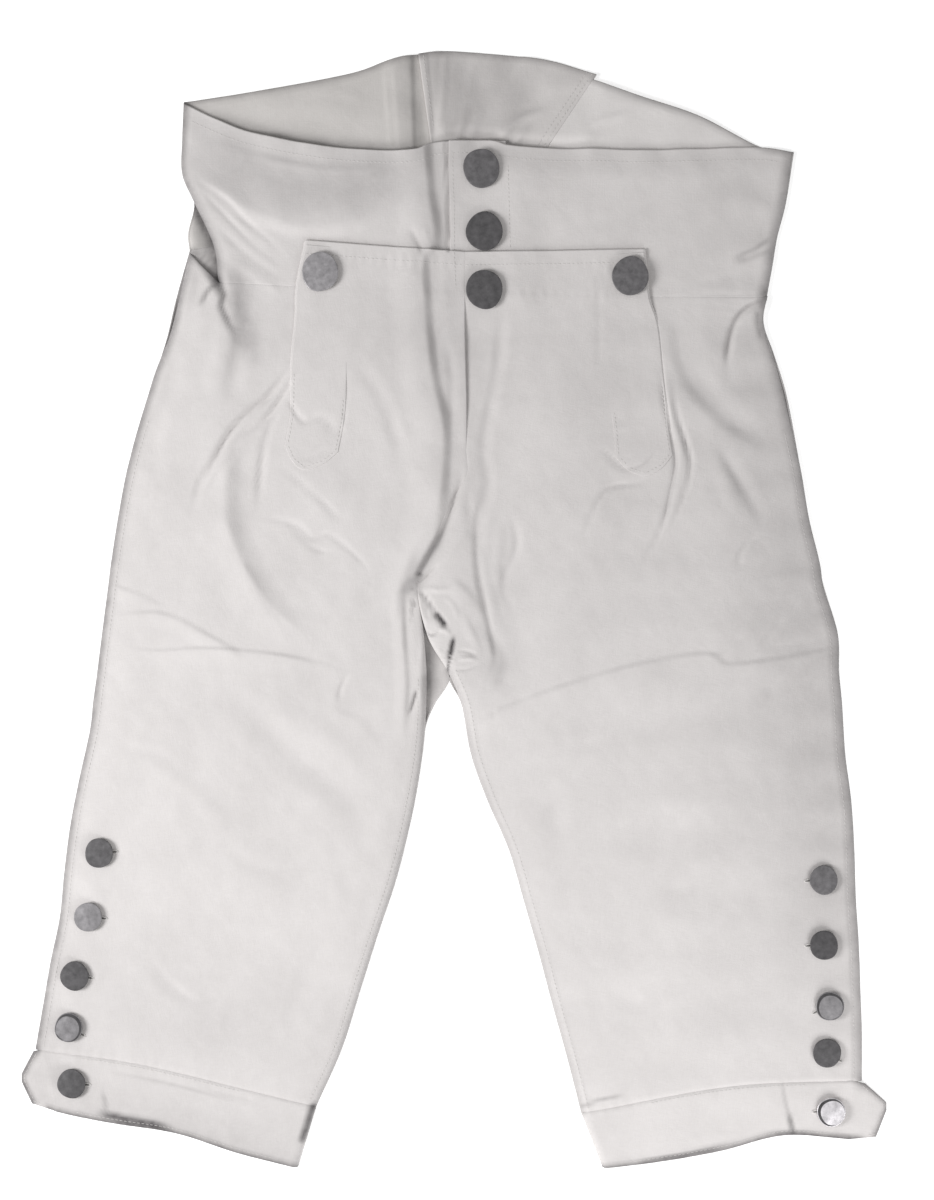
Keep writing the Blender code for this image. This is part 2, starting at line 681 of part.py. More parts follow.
def button(place, trees, finish):
    """A turned metal button: shank, dished back, rolled rim and a low domed face."""
    radius = place.diameter / 2
    turned = (
        (2.2, 0.3),
        (2.2, 1.5),
        (radius - 1.0, 1.9),
        (radius, 2.5),
        (radius - 0.3, 3.2),
        (radius - 1.4, 3.5),
        (radius * 0.5, 3.9),
    )
    reach = radius * 0.7
    spots = [(reach, 0), (0, reach), (-reach, 0), (0, -reach)]
    east, north, west, south = [
        Vector((place.x + dx, place.y + dy, lie_on(trees, place.x + dx, place.y + dy, 0)))
        for dx, dy in spots
    ]
    normal = (east - west).cross(north - south).normalized()
    centre = Vector((place.x, place.y, lie_on(trees, place.x, place.y, 0)))
    ring_level = sum(spot.z for spot in (east, north, west, south)) / 4
    centre.z = max(centre.z, ring_level)
    tilt = Vector((0, 0, 1)).rotation_difference(normal)
    points = [centre + tilt @ Vector((0, 0, turned[0][1]))]
    for r, h in turned:
        for step in range(BUTTON_SIDES):
            angle = 2 * math.pi * step / BUTTON_SIDES
            points.append(centre + tilt @ Vector((r * math.cos(angle), r * math.sin(angle), h)))
    points.append(centre + tilt @ Vector((0, 0, turned[-1][1] + 0.2)))
    faces = []
    for step in range(BUTTON_SIDES):
        following = (step + 1) % BUTTON_SIDES
        faces.append((0, 1 + following, 1 + step))
        for ring in range(len(turned) - 1):
            low = 1 + ring * BUTTON_SIDES
            high = low + BUTTON_SIDES
            faces.append((low + step, low + following, high + following, high + step))
        last = 1 + (len(turned) - 1) * BUTTON_SIDES
        faces.append((last + step, last + following, len(points) - 1))
    add_object(place.name, points, faces, finish)


def clear_scene():
    for old in list(bpy.data.objects):
        bpy.data.objects.remove(old)


def main():
    clear_scene()
    trees = []
    for side in ("right", "left"):
        cloth_piece(f"back_leg_{side}", back_leg(side))
        back = band(BACK_BANDS[side], side, lambda x, y: BACK_LEVEL, FACING_DOWN, 0.15)
        cloth_piece(f"back_waistband_{side}", back, DRILL_INSIDE)
        lap = overlap_lift if side == "left" else None
        front = band(FRONT_BANDS[side], side, band_level, FACING_UP, 0.3, lap)
        cloth_piece(f"front_waistband_{side}", front)
        leg, leg_hem = front_leg(side)
        cloth_piece(f"front_leg_{side}", leg)
        knee = knee_band(side, leg_hem)
        cloth_piece(f"knee_band_{side}", knee)
        placket = fall_placket(side, [leg.tree()])
        cloth_piece(f"fall_placket_{side}", placket)
        trees += [front.tree(), leg.tree(), knee.tree(), placket.tree()]
    cloth_piece("back_gusset", gusset(), DRILL_INSIDE)
    for place in BUTTON_PLACES:
        button(place, trees, material(place.name, PEWTER, 0.45, 0.8))


main()
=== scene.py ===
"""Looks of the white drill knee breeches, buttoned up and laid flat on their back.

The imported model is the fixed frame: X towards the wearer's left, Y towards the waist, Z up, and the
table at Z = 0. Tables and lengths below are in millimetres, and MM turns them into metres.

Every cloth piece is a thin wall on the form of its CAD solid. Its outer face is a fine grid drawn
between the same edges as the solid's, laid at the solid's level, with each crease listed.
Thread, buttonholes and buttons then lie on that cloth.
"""

import math
from collections import namedtuple

import bmesh
import bpy
import numpy as np
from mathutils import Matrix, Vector
from mathutils.bvhtree import BVHTree


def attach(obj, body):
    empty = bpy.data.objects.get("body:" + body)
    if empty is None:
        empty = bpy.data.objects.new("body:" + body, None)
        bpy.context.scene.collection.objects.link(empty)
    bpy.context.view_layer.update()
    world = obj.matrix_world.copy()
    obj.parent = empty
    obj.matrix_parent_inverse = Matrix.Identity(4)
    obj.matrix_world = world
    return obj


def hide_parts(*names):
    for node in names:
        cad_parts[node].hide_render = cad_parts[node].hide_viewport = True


MM = 0.001
RANDOM = np.random.default_rng(1797)
SIDES = ("right", "left")

# Cloth and layers
CLOTH = 1.2  # thickness of one wall
STRAP = 0.3  # thickness of the straps over the fall's slits, pressed flat
STRAP_PRESS = 0.05  # they lie this far over the fall
SEAM_GAP = 0.14  # pieces stand this far apart at a seam, with the stitching drawn tight
PLY = CLOTH + 0.8  # one layer and the air over it
FRONT_LEVEL = 6.6  # outer face of the front layer away from folds, a little fuller than the solid
OUTLINE_DROP = 1.5  # how far it falls towards the garment's outline
OUTLINE_REACH = 24
OUTLINE_FALL = {"right": (1.5, 24), "left": (3.4, 62)}  # drop and reach at each outer side
LOWEST_FRONT = 3.3  # the front's outer face stays above this, clear of the back layer
FLOOR_SOFTNESS = 0.35
SEAM_LEVEL = 2.2  # height of the side seams and inseams
CORNER_ROUNDING = 0.4  # how far a wall's rim bulges past its edge, in thicknesses
FACING_DOWN = 1  # the inner face lies above the outer face
FACING_UP = -1

# Spacing of the grids: on the front, across the outer and the inner half of its leg, down the leg at
# the fork and below it, then on the hidden back and on its waistband, half of which shows
MESH_STEP = 1.9
SIDE_STEP = 2.3
CENTRE_STEP = 1.25
FORK_STEP = 1.15
LOWER_STEP = 2.3
FORK_SPAN = (-75, 32)  # between these heights the fork's step is used
BACK_STEP = 4.5
BACK_BAND_STEP = 2.4

# Widths and depths of the pieces, which set how many steps they take
SIDE_WIDTH = 100
FALL_WIDTH = 118
BAND_DEPTH = 96
FRONT_BAND_WIDTH = 215
BACK_BAND_WIDTH = 170
GUSSET_WIDTH = 100
GUSSET_DEPTH = 151
PLACKET_WIDTH = 34
PLACKET_DEPTH = 135

# Rolled edges at the seams: degrees round them, and their widths in counts of listed points
ROLL_ANGLES = np.arange(0, 91, 15)
OUTER_ROLL = 0.07
INNER_ROLL = 0.06
FRONT_BAND_ROLL = 0.3
BACK_BAND_ROLL = 0.15

# Thread, and how far its rows lie from the edges and seams
STITCH = 2.1  # length of one stitch
STITCH_STEP = 2.9
STITCH_DIP = -0.22  # how high a stitch's ends lie over the cloth
STITCH_CROWN = 0.08  # and its middle
THREAD = 0.17  # radius
FALL_HEM = 8.6
FELLED = 5.5
WAIST_HEM = 8
LAP_EDGE = 2.2
STRAP_EDGE = 1.7
KNEE_SEAM_EDGE = 2.0
KNEE_HEM_EDGE = 2.4
TAB_EDGE = 1.9
GUSSET_ROWS = (-2.5, -6.0)  # two rows beside its left seam
GUSSET_EDGE = 1.2  # and one beside its right

# The camera looks straight down and takes in this much of the table
VIEW_HEIGHT = 792.0
VIEW_CENTRE = (8.6, 5.9)
CAMERA_HEIGHT = 1500
SENSOR = 36


# ---- Shape tables ----


def rows_of(kind, *rows):
    """Rows of plain values, as named tuples."""
    return tuple(kind(*row) for row in rows)


def edges_between(outer, inner, top=(), bottom=()):
    """The four edges of a piece. top and bottom list what lies between its corners."""
    return {"top": (outer[0], *top, inner[0]), "bottom": (outer[-1], *bottom, inner[-1]),
            "outer": outer, "inner": inner}


# Front legs. The rows run down the leg, from the end of the slit to the knee seam. "Inner" is the
# centre-front seam, then the fork, then the inseam, and roll says how far it rolls to the back.
LegRow = namedtuple("LegRow", "outer_x outer_y inner_x inner_y roll")
FRONT_ROWS = {
    "right": rows_of(
        LegRow, (-207, 126, 8, 105, 0), (-216, 94, 8, 88, 0), (-222, 63, -4, 67, 0), (-227, 31, -16, 35, 0),
        (-229, 15, -24, 15, 0), (-233, -16, -20, -16, 0.6), (-236, -40, -18, -46, 1),
        (-241, -80, -19, -80, 1), (-248, -112, -23, -112, 1), (-254, -143, -29, -143, 1),
        (-258, -174, -38, -179, 1), (-261, -204, -50, -215, 1), (-267, -233, -62, -253, 1),
        (-272, -262, -74, -291, 1), (-277, -291, -91, -329, 1)),
    "left": rows_of(
        LegRow, (224, 118, 8, 105, 0), (230, 90, 8, 88, 0), (235, 60, -4, 67, 0), (242, 31, -16, 35, 0),
        (245, 13, -24, 15, 0), (254, -16, -17.5, -18, 0.5), (255, -42, -4, -42, 1), (257, -64, 5, -64, 1),
        (259, -96, 11, -96, 1), (263, -127, 22, -127, 1), (265, -159, 36, -159, 1),
        (266, -191, 46, -193, 1), (268, -222, 56, -228, 1), (269, -251, 65, -262, 1),
        (270, -280, 75, -298, 1), (270, -312, 84, -333, 1)),
}

# Back legs, from the waistband seam down: the centre-back seam, then the inseam, which is the front's.
BACK_ROWS = {
    "right": rows_of(
        LegRow, (-175, 237, -8.5, 272, 0), (-184, 205, -3.9, 240, 0), (-191, 176, 0, 212, 0),
        (-203, 140, 0, 164, 0), (-214, 102, 0, 120, 0), (-222, 63, -1, 70, 0), (-228, 22, -2, 20, 0),
        (-233, -16, -3, -24, 0), (-236, -40, -3, -46, 0), (-239, -62, -13, -64, 0.7),
    ) + FRONT_ROWS["right"][7:],
    "left": rows_of(
        LegRow, (207, 206, 40, 272, 0), (205, 189, 18.7, 240, 0), (212, 168, 0, 212, 0),
        (220, 142, 0, 164, 0), (227, 106, 0, 120, 0), (235, 60, -1, 70, 0), (244, 18, -2, 20, 0),
        (254, -16, -3, -24, 0), (255, -42, -3, -46, 0), (257, -64, 5, -64, 0.7),
    ) + FRONT_ROWS["left"][8:],
}

# The bend of the knee seam between its ends.
KNEE_BEND = {"right": (-201, -302), "left": (182, -315)}

# The part of a front leg beside the slit, from the waist seam to the end of the slit.
SideRow = namedtuple("SideRow", "outer_x outer_y slit_x slit_y")
SIDE_ROWS = {
    "right": rows_of(SideRow, (-182, 217, -104, 213), (-187, 185, -105, 191), (-198, 156, -108, 160),
                     (-207, 126, -108, 125)),
    "left": rows_of(SideRow, (207, 206, 129, 206), (205, 189, 135, 187), (215, 155, 139, 152),
                    (224, 118, 143, 118)),
}

# The top of that part's outer edge as it lies, drawn up beside the waistband on the right.
LEG_CORNER = {"right": (-175, 235), "left": (207.5, 207)}

# Half of the fall, from its top edge to the end of the slit. Lift says how much of the waistband's
# thickness it rides over.
FallRow = namedtuple("FallRow", "slit_x slit_y centre_x centre_y lift")
FALL_ROWS = {
    "right": rows_of(FallRow, (-98, 243, 7, 235, 1), (-104, 213, 7, 206, 1), (-105, 191, 7, 178, 0.6),
                     (-108, 160, 8, 138, 0.25), (-108, 125, 8, 105, 0)),
    "left": rows_of(FallRow, (126, 237, 7, 235, 1), (129, 206, 7, 206, 1), (135, 187, 7, 178, -0.05),
                    (139, 152, 8, 138, -0.25), (143, 118, 8, 105, 0)),
}

# Waistbands: their side seam, the end at the centre, the top edge and the bottom seam.
FRONT_BANDS = {
    "right": edges_between(
        ((-179, 334), (-180, 310), (-180, 288), (-172, 269), (-159, 240), (-156, 215.7)),
        ((34, 309), (34, 289), (34, 269), (34, 250), (34, 230), (34, 210)),
        ((-158, 324), (-135, 315), (-102, 308), (-69, 304), (-28, 303), (-14, 308), (8, 309)),
        ((-141, 214.9), (-127, 214.2), (-104, 213), (-69, 212), (-28, 211), (-14, 211), (8, 210))),
    "left": edges_between(
        ((224, 302), (220, 270), (214, 246), (211, 228), (207, 206)),
        ((-3, 309), (-3, 284), (-2, 260), (-2, 235), (-1, 210)),
        ((202, 305), (162, 304), (123, 303), (95, 304), (67, 304), (37, 306), (24, 309)),
        ((192, 206), (162, 206), (129, 206), (95, 207), (67, 208), (37, 209), (24, 210))),
}
BACK_BANDS = {
    "right": edges_between(
        ((-179, 335), (-180, 310), (-180, 288), (-172, 269), (-176, 249), (-175, 237)),
        ((-22, 367), (-19.3, 348), (-16.6, 329), (-13.9, 310), (-11.2, 291), (-8.5, 272)),
        ((-127, 343), (-69, 354), (-43, 363)), ((-127, 247.1), (-72, 258.7), (-39, 265.6))),
    "left": edges_between(
        ((225, 302), *FRONT_BANDS["left"]["outer"][1:]),
        ((92, 350), (79, 330.5), (66, 311), (53, 291.5), (40, 272)),
        ((202, 306), (162, 326), (123, 339)), ((170, 220.6), (130, 236.4), (83, 255))),
}

# The gusset is a V from the back's top edge down to the head of the centre-back seam.
GUSSET = edges_between(
    ((-21.6, 367), (-14.5, 316.7), (-7.3, 266.3), (-0.2, 216)),
    ((94, 353.5), (64.3, 309.3), (33.3, 262.7), (2.2, 216)),
    ((-8, 369), (13, 368), (47, 365), (67, 362)), ((0.3, 216), (0.8, 216), (1.3, 216), (1.8, 216)))
GUSSET_LAP = (1.6, 1.5, 16)  # its right edge laps over its neighbour: width, height, reach of the slope
GUSSET_LAP_END = (306, 10)  # the lap is gone at this Y, and whole this far above it

# The straps that stay the fall's slits, ending in a point.
FALL_PLACKETS = {
    "right": edges_between(
        ((-97, 240), (-103, 213), (-104, 191), (-107, 160), (-108, 130), (-111.5, 108)),
        ((-69, 238), (-70, 213), (-71, 191), (-71, 160), (-72, 130), (-76.6, 103.6)),
        ((-90, 239.5), (-84, 239), (-76, 238.5)), ((-107, 98), (-99, 91.7), (-86, 96))),
    "left": edges_between(
        ((125, 235), (128, 206), (134, 187), (138, 152), (141, 122), (144, 101.6)),
        ((94, 233), (95, 206), (98, 187), (101, 152), (105, 122), (107, 99.7)),
        ((117, 234.5), (110, 234), (102, 233.5)), ((137, 93), (126.7, 87.8), (115, 91.5))),
}

# Above this place down its sides, only the edge of a strap by the slit shows under the fall's drag,
# and the rest sinks this far, in strap thicknesses.
PLACKET_SHOWS = {"right": 2.7, "left": 3.5}
PLACKET_SINKS = 0.45

# Knee bands: the hem from the outer end of the leg to its inner edge, and the tab past that end.
HEMS = {
    "right": ((-268, -331), (-226, -339), (-183, -346), (-143, -359), (-103, -369)),
    "left": ((268, -351), (219, -347), (176, -357), (137, -364), (98, -369)),
}
HEM_POINTS = 2  # listed points of the hem for each one of the knee seam
TAB_TIPS = {"right": ((-286, -308), (-286, -313)), "left": ((286, -327), (286, -332))}
TAB_ROOTS = {"right": ((-278, -293), (-279, -327)), "left": ((272, -314.5), (279, -349))}
BAND_LEVELS = (1.6, 2.9, 3.9)  # outer face over the table at the tab's tip, at its root and at the leg
BAND_SETTLES = 26  # the band reaches the leg's own level this far in


# ---- Creases ----
#
# A crease is a ridge, or a trough where its height is negative, along a smooth line of points. The
# points run up or to the right, so that left is the upper or left-hand side. left and right are how
# far it reaches on each side, sharp how much of a corner its crest has, ends says which ends fade
# out, and hollow is the depth of a trough just past its right side.
Crease = namedtuple("Crease", "height left right sharp points ends hollow")
CREASE_FADE = 0.34  # part of a crease's length over which an end fades out
WANDER_SHARE = 0.13  # how far a crease strays from its line, in its narrower reach
WANDER_MOST = 0.7
SWELL = 0.2  # share of its height by which it swells and sinks
HOLLOW_PLACE = 1.25  # where the hollow past its right side is deepest, in its right reach


def crease(height, left, right, sharp, *points, ends="both", hollow=0):
    return Crease(height, left, right, sharp, points, ends, hollow)


# Lines that have both a crease and soiling
FORK_NOTCH = ((-23, 13), (-17, 5), (-10.5, -3.6))
UPPER_GAPE = ((-13, -0.6), (-11.2, -3.3), (-8.4, -6.9), (-5.6, -10.6), (-4, -13))
GAPE_TAIL = ((-4.4, -42), (-3.6, -36.3), (-2.6, -31))
FORK_CRUMPLE = ((-22.4, -10.6), (-16.5, -16.5), (-11.9, -16.5), (-11, -11))
SLACK_ABOVE_KNEE = ((-206, -221), (-195, -240), (-183, -252), (-170, -260), (-148, -257))
BELOW_LEFT_SLIT = ((92, 96), (98, 104), (112, 92), (126, 96), (134, 108))
LEFT_UNDERLAP = ((227, -352), (223, -340), (219, -326), (216, -308))
WAIST_NICK = ((-168, 199), (-165.8, 204), (-161.4, 211.3), (-154, 216))
WAIST_PULL = ((-143, 180), (-149.7, 192.2), (-153.3, 201), (-151.9, 208.4), (-154.8, 215), (-160, 226))

CENTRE_CREASES = (
    # Deep fold beside the centre-front seam, then its run up the waistband
    crease(2.6, 24, 6.6, 0, (-27, 10), (-26, 18), (-21, 32), (-14.5, 45), (-11.6, 59), (-10, 72), (-9, 85),
        (-7.8, 105), (-8.6, 125), (-15, 151), (-18.4, 177), (-20.4, 204), (-21.6, 220), (-20.6, 232),
        (-15.6, 240), (-14.2, 248), (-15.6, 259), (-17.8, 274), (-19.4, 290), (-20.8, 304), (-21, 316),
        ends="none", hollow=0.6),
    crease(-1.6, 1.6, 1.1, 0.2, (-3.2, 236), (-4, 260), (-4.8, 308), ends="none"),
    # The seam's own fold, where it turns into the deep one
    crease(-2.3, 3.2, 3.4, 0.2, (-22, 24), (-17.8, 32), (-10.5, 45.5), (-4.2, 58.7), (0, 72), (4.6, 84),
        (6, 96), ends="end"),
    crease(-1.5, 2.2, 2.2, 0.3, (-27, 14), (-16, 24), (-8.6, 32), ends="end"),
    # Fold on the left half: sharp by the fork, soft above
    crease(-1.3, 3.2, 9, 0.2, (17, -65), (19, -57), (25.4, -42), (27, -33), (26, -24), (21.8, -7),
        (18.5, 9), (15, 27), (14, 40), (15, 57), (18, 76), (20, 92)),
    crease(0.9, 3, 7, 0, (29, -34), (25, -4), (20, 20), (18, 44)),
    crease(-1, 6, 7, 0, (14, 51), (22, 79), (20, 105), (24, 130), (28, 158), (32, 187), (34, 217),
        ends="end"),
    crease(-0.8, 4, 5, 0.2, (39, -5), (32, 17), (42, 41), (38, 65)),
    crease(0.7, 6, 6, 0, (34, 3), (28, 32), (32, 59)),
    crease(-0.9, 5, 5, 0, (-1, 118), (-1.5, 150), (-4, 182)),
    crease(-0.6, 5, 5, 0, (9, 40), (10, 62), (7, 84)),
)
FORK_CREASES = (
    # Edges of the piece let in at the fork
    crease(0.5, 3.4, 2.2, 0.2, (-24, 14.5), (-17.8, 13.5), (-8.6, 12.5), (0.7, 14), hollow=0.2),
    crease(0.9, 5, 12, 0, (-7, 19), (0, 16), (6, 11), (11, 5), (15.5, -3), (18, -12)),
    crease(0.5, 2.8, 6, 0, (3, 4), (8.9, -8.9), (13.9, -18.8), (17, -28), (17, -34)),
    crease(-2, 1.9, 1.9, 0.2, *FORK_NOTCH),
    # Two gapes, where the let-in piece has pulled away
    crease(-3.4, 2.4, 2.2, 0, *UPPER_GAPE),
    crease(-3.4, 2.2, 2, 0, (-3.4, -34), (-2.4, -30), (-1.2, -25), (-0.6, -21), (-0.4, -18)),
    crease(-1.8, 1.5, 1.5, 0.3, *GAPE_TAIL, ends="start"),
    # Small crumples by the edge
    crease(1.1, 1.8, 2.6, 0.3, (-23.4, 8), (-19.8, -4), (-15.2, -12.5)),
    crease(-1.3, 1.6, 1.6, 0.3, *FORK_CRUMPLE),
    crease(0.9, 1.8, 2.4, 0.4, (-14, -15), (-8, -13.4), (-4.6, -15), (-2, -19)),
    crease(1.3, 1.6, 1.8, 0.3, (-11, -23), (-8.6, -31.7), (-5.6, -39)),
    crease(0.7, 2, 3, 0.5, (-16, 2), (-12, -9), (-6, -15)),
    crease(0.6, 3, 2, 0.5, (-8, 9), (-1, 2), (3, -9)),
    crease(-0.8, 1.7, 1.7, 0.2, (0.7, -28.7), (5.3, -27.7), (10.6, -28.7), (15.8, -31)),
    crease(0.9, 2.4, 2.2, 0.2, (2, -34), (8, -32.4), (16, -33)),
    crease(-0.8, 1.7, 1.7, 0.2, (-0.7, -38.6), (5.3, -39.8), (11.9, -38.3), (17.8, -34.3)),
    # The right leg's inseam: the leg falls to its stitched strip, whose edge stands up
    crease(1.2, 8, 3.4, 0, (-34, -92), (-32.7, -67), (-32.3, -50), (-33.7, -34), (-34.7, -20), (-34.7, -1),
        (-34, 12), (-30, 24), hollow=0.3),
    crease(1.3, 4, 5, 0, (-24, -90), (-21.6, -60), (-20.6, -36), (-21.4, -10), (-25, 8)),
    crease(-2, 1.8, 1.8, 0.2, (-30, -72), (-28.4, -66.7), (-25.1, -54.8), (-24.4, -50)),
)
RIGHT_LEG_CREASES = (
    # Hollows over the hip
    crease(-0.8, 8, 10, 0, (-188, 129), (-185, 154), (-183, 174)),
    crease(-1.7, 8, 10, 0, (-149, 128), (-142, 171), (-140, 200), (-146, 214)),
    crease(0.8, 9, 9, 0, (-164, 138), (-156, 161), (-152, 187)),
    crease(0.9, 6, 6, 0, (-182, 189), (-174, 211), (-170, 226)),
    crease(-0.6, 9, 9, 0, (-201, 92), (-195, 125), (-190, 151)),
    # Pulls from the end of the slit
    crease(-2.9, 3, 4.2, 0.2, (-172, 60), (-171, 69), (-167, 85), (-158, 100), (-146, 119), (-131, 135),
        (-123, 141), (-109, 158), (-102, 168)),
    crease(-2.4, 2.6, 3.8, 0.2, (-154, 104), (-145, 113), (-137, 119), (-126, 125), (-118, 134),
        (-107, 150), (-100, 160)),
    crease(-1.7, 2.6, 3.4, 0.2, (-130, 60), (-129, 73), (-127, 94), (-123, 116), (-112, 138)),
    crease(-1, 2.6, 3.4, 0.3, (-164, 76), (-154, 90), (-144, 103)),
    # Long fold from there across the thigh, with a wide slope on its far side
    crease(2.6, 24, 14, 0.8, (-88, -32), (-98, -20), (-115, -3), (-137, 25), (-146.5, 47), (-151, 72),
        (-150, 100), (-145, 122), (-138, 140)),
    crease(0.45, 18, 24, 0.2, (-60, -46), (-90, -28), (-112, -6), (-130, 16)),
    # Crumples below the placket
    crease(-0.8, 2.4, 3, 0.3, (-116, 98), (-112, 93), (-98, 81), (-84, 68), (-70, 54)),
    crease(-0.8, 2.4, 3, 0.3, (-138, 64), (-130, 61), (-117, 59), (-103, 55), (-94, 47), (-84, 50),
        (-72, 42), (-60, 30), (-54, 20)),
    crease(-0.6, 2.4, 2.6, 0.3, (-112, 60), (-103, 50), (-92, 40), (-78, 36)),
    crease(-0.7, 8, 8, 0, (-34, 88), (-40, 123), (-54, 148), (-65, 170)),
    crease(-0.6, 1.8, 1.8, 0.4, (-78, 104), (-72, 130), (-71, 160)),
    crease(-1.5, 2, 2.4, 0.2, (-113, 142), (-109, 137), (-99.7, 124), (-89.8, 127.4), (-77, 118),
        (-70, 114)),
    crease(-0.8, 2, 2.4, 0.2, (-104, 104), (-96, 99), (-88, 104), (-80, 100)),
    # Slack across the thigh
    crease(0.5, 2.3, 9, 0.2, (-230, 20), (-222, 14), (-207, 8), (-190, 0)),
    crease(0.8, 2.4, 10, 0.2, (-232, -4), (-212, -4), (-196, -3), (-180, -8), (-165, -17), (-146, -27),
        ends="start"),
    crease(0.9, 2.5, 13, 0.2, (-226, -24), (-200, -28), (-168, -27), (-121, -30), (-82, -39), (-62, -46)),
    crease(-0.8, 2.4, 3, 0.4, (-77, -62), (-74, -50), (-69, -42)),
    # Broad hollow down to the inseam
    crease(-1.1, 17, 17, 0, (-170, -45), (-140, -67), (-107, -97), (-69, -124), (-59, -157), (-67, -195)),
    crease(0.8, 14, 12, 0, (-127, -60), (-88, -83), (-54, -108)),
    # Slack above the knee
    crease(-0.7, 4.5, 8, 0, *SLACK_ABOVE_KNEE),
    crease(-0.4, 6, 8, 0, (-151, -156), (-127, -171), (-102, -172)),
    crease(-0.5, 10, 10, 0, (-115, -278), (-98, -248), (-88, -212)),
    crease(0.5, 9, 9, 0, (-214, -100), (-174, -119), (-135, -159)),
    crease(-0.4, 5, 7, 0, (-227, -88), (-201, -94), (-178, -106)),
)
LEFT_LEG_CREASES = (
    # Hollows over the hip
    crease(-1.8, 9, 18, 0.2, (232, 106), (213, 110), (195, 117), (177, 127), (162, 144), (152, 160),
        (147, 180), (145, 206)),
    crease(-1.1, 5, 10, 0.2, (206, 50), (203, 58), (193, 76), (184, 90), (168, 114)),
    crease(0.8, 9, 7, 0, (190, 58), (180, 82), (168, 104)),
    crease(-1.2, 2.6, 3.2, 0.3, (187, 22), (188, 34), (194, 44), (204, 50)),
    crease(-2.8, 3, 4.6, 0.3, (180, 154), (180, 165), (182, 178), (186, 191), (193, 199), (205, 205),
        (216, 208)),
    crease(-1.6, 3, 4, 0.4, (204, 178), (202, 190), (201, 203)),
    crease(-0.4, 2.6, 3, 0.2, (150, 207), (176, 208), (214, 207)),
    # Pulls from the end of the slit
    crease(-1.3, 2, 2.4, 0.3, (138, 62), (143, 80), (146, 95), (145, 108), (142, 122), (138, 143),
        (137, 176)),
    crease(-1.6, 2.2, 2.8, 0.3, (140, 48), (147, 64), (153, 80), (156, 96), (152, 112), (147, 128),
        (144, 150)),
    crease(0.8, 3, 3, 0, (150, 80), (150, 102), (144, 125), (140, 160)),
    crease(-1, 2.4, 3, 0.3, (84, 44), (88, 55), (92, 66), (101, 79), (116, 82), (134, 84)),
    crease(-1.2, 2.4, 3, 0.3, (122, 26), (130, 40), (138, 56), (142, 72), (144, 88)),
    crease(-0.4, 8, 8, 0, (70, -1), (103, 32), (123, 59)),
    crease(0.35, 3, 2.2, 0.2, (97, 118), (110, 119), (124, 122), (136, 125)),
    crease(-0.4, 3, 3, 0, (94, 150), (96, 185), (94, 225)),
    crease(-0.8, 2.4, 3, 0.2, *BELOW_LEFT_SLIT),
    # Slack across the thigh
    crease(0.9, 4, 20, 0.2, (30, -68), (73, -52), (122, -38), (166, -31), (182, -38), (229, -32),
        (252, -26), ends="none"),
    crease(-0.8, 2.6, 3.4, 0.4, (170, -32), (181, -24), (192, -14)),
    crease(-0.6, 3, 5, 0.2, (198, -30), (209, -16), (220, -2)),
    crease(-0.7, 7, 8, 0, (209, -53), (228, -39), (252, -20), ends="end"),
    crease(-0.4, 7, 9, 0, (70, -93), (90, -89), (111, -84)),
    # Down to the knee
    crease(-0.6, 13, 14, 0, (71, -185), (67, -146), (63, -106)),
    crease(-0.4, 8, 10, 0, (123, -192), (162, -179), (192, -159)),
    crease(0.4, 10, 10, 0, (116, -265), (162, -251), (202, -232)),
    crease(-0.4, 6, 8, 0, (96, -248), (113, -258), (133, -260)),
    # The whole leg is a little full along its middle
    crease(1.6, 105, 105, 0, (150, -340), (150, -150), (144, 0), (140, 110), (150, 200), ends="none"),
    # Edge of the band's underlap
    crease(-0.5, 1.9, 1.9, 0.4, *LEFT_UNDERLAP),
)
WAIST_CREASES = (
    # Drag folds from the right side towards the fall's corner
    crease(0.8, 11, 2.6, 0.1, (-176, 292), (-164, 282), (-148, 271), (-133, 257), (-119, 244), (-108, 232),
        hollow=0.3),
    crease(-0.6, 2.4, 3, 0.4, (-170, 279), (-158, 267), (-146, 255), (-131, 240), (-111, 225)),
    crease(0.4, 2.4, 2.4, 0, (-150, 263), (-141, 255), (-126, 243.5), (-114, 234)),
    crease(-0.5, 3, 4, 0.2, (-164, 260), (-150, 246), (-135, 233), (-118, 222), (-106, 215)),
    crease(0.5, 5, 5, 0, (-153, 234), (-130, 220), (-108, 205)),
    crease(-1.5, 6, 8, 0, (-136, 172), (-147, 188), (-152, 200), (-152, 208), (-158, 220), (-168, 238)),
    crease(-1.6, 2.4, 3, 0.2, *WAIST_NICK),
    crease(-1.8, 2.6, 3.4, 0.2, *WAIST_PULL),
    # Beside the back's open wedge the leg's corner is a little full
    crease(1.2, 7, 11, 0, (-186, 196), (-180, 218), (-174, 246)),
    # The basin over the right half, under its lower rim
    crease(2.4, 34, 10, 0, (-170, 292), (-152, 277), (-130, 262), (-102, 254), (-72, 255), (-48, 266),
        (-35, 284), (-32, 298)),
    crease(0.5, 4, 4, 0, (-160, 308), (-135, 299.5), (-102, 292), (-60, 290), (-40, 292)),
    # Short folds over the fall's top edge
    crease(-1.1, 2.6, 3.4, 0.2, (-22, 237), (-25, 245), (-30, 253), ends="end"),
    crease(0.5, 4, 4, 0, (-15, 238), (-18, 246), (-21, 254), ends="end"),
    # The left half
    crease(-2.6, 3.2, 4.5, 0.3, (184, 230), (197, 235), (213, 243), ends="start"),
    crease(-1.6, 12, 12, 0.2, (210, 225), (213, 245), (219, 270), (222, 295)),
    crease(0.7, 12, 12, 0, (128, 238), (162, 259), (207, 291)),
    crease(-0.5, 10, 12, 0, (70, 244), (110, 260), (156, 280)),
    crease(-0.4, 5, 7, 0, (156, 214), (176, 218), (195, 220)),
)
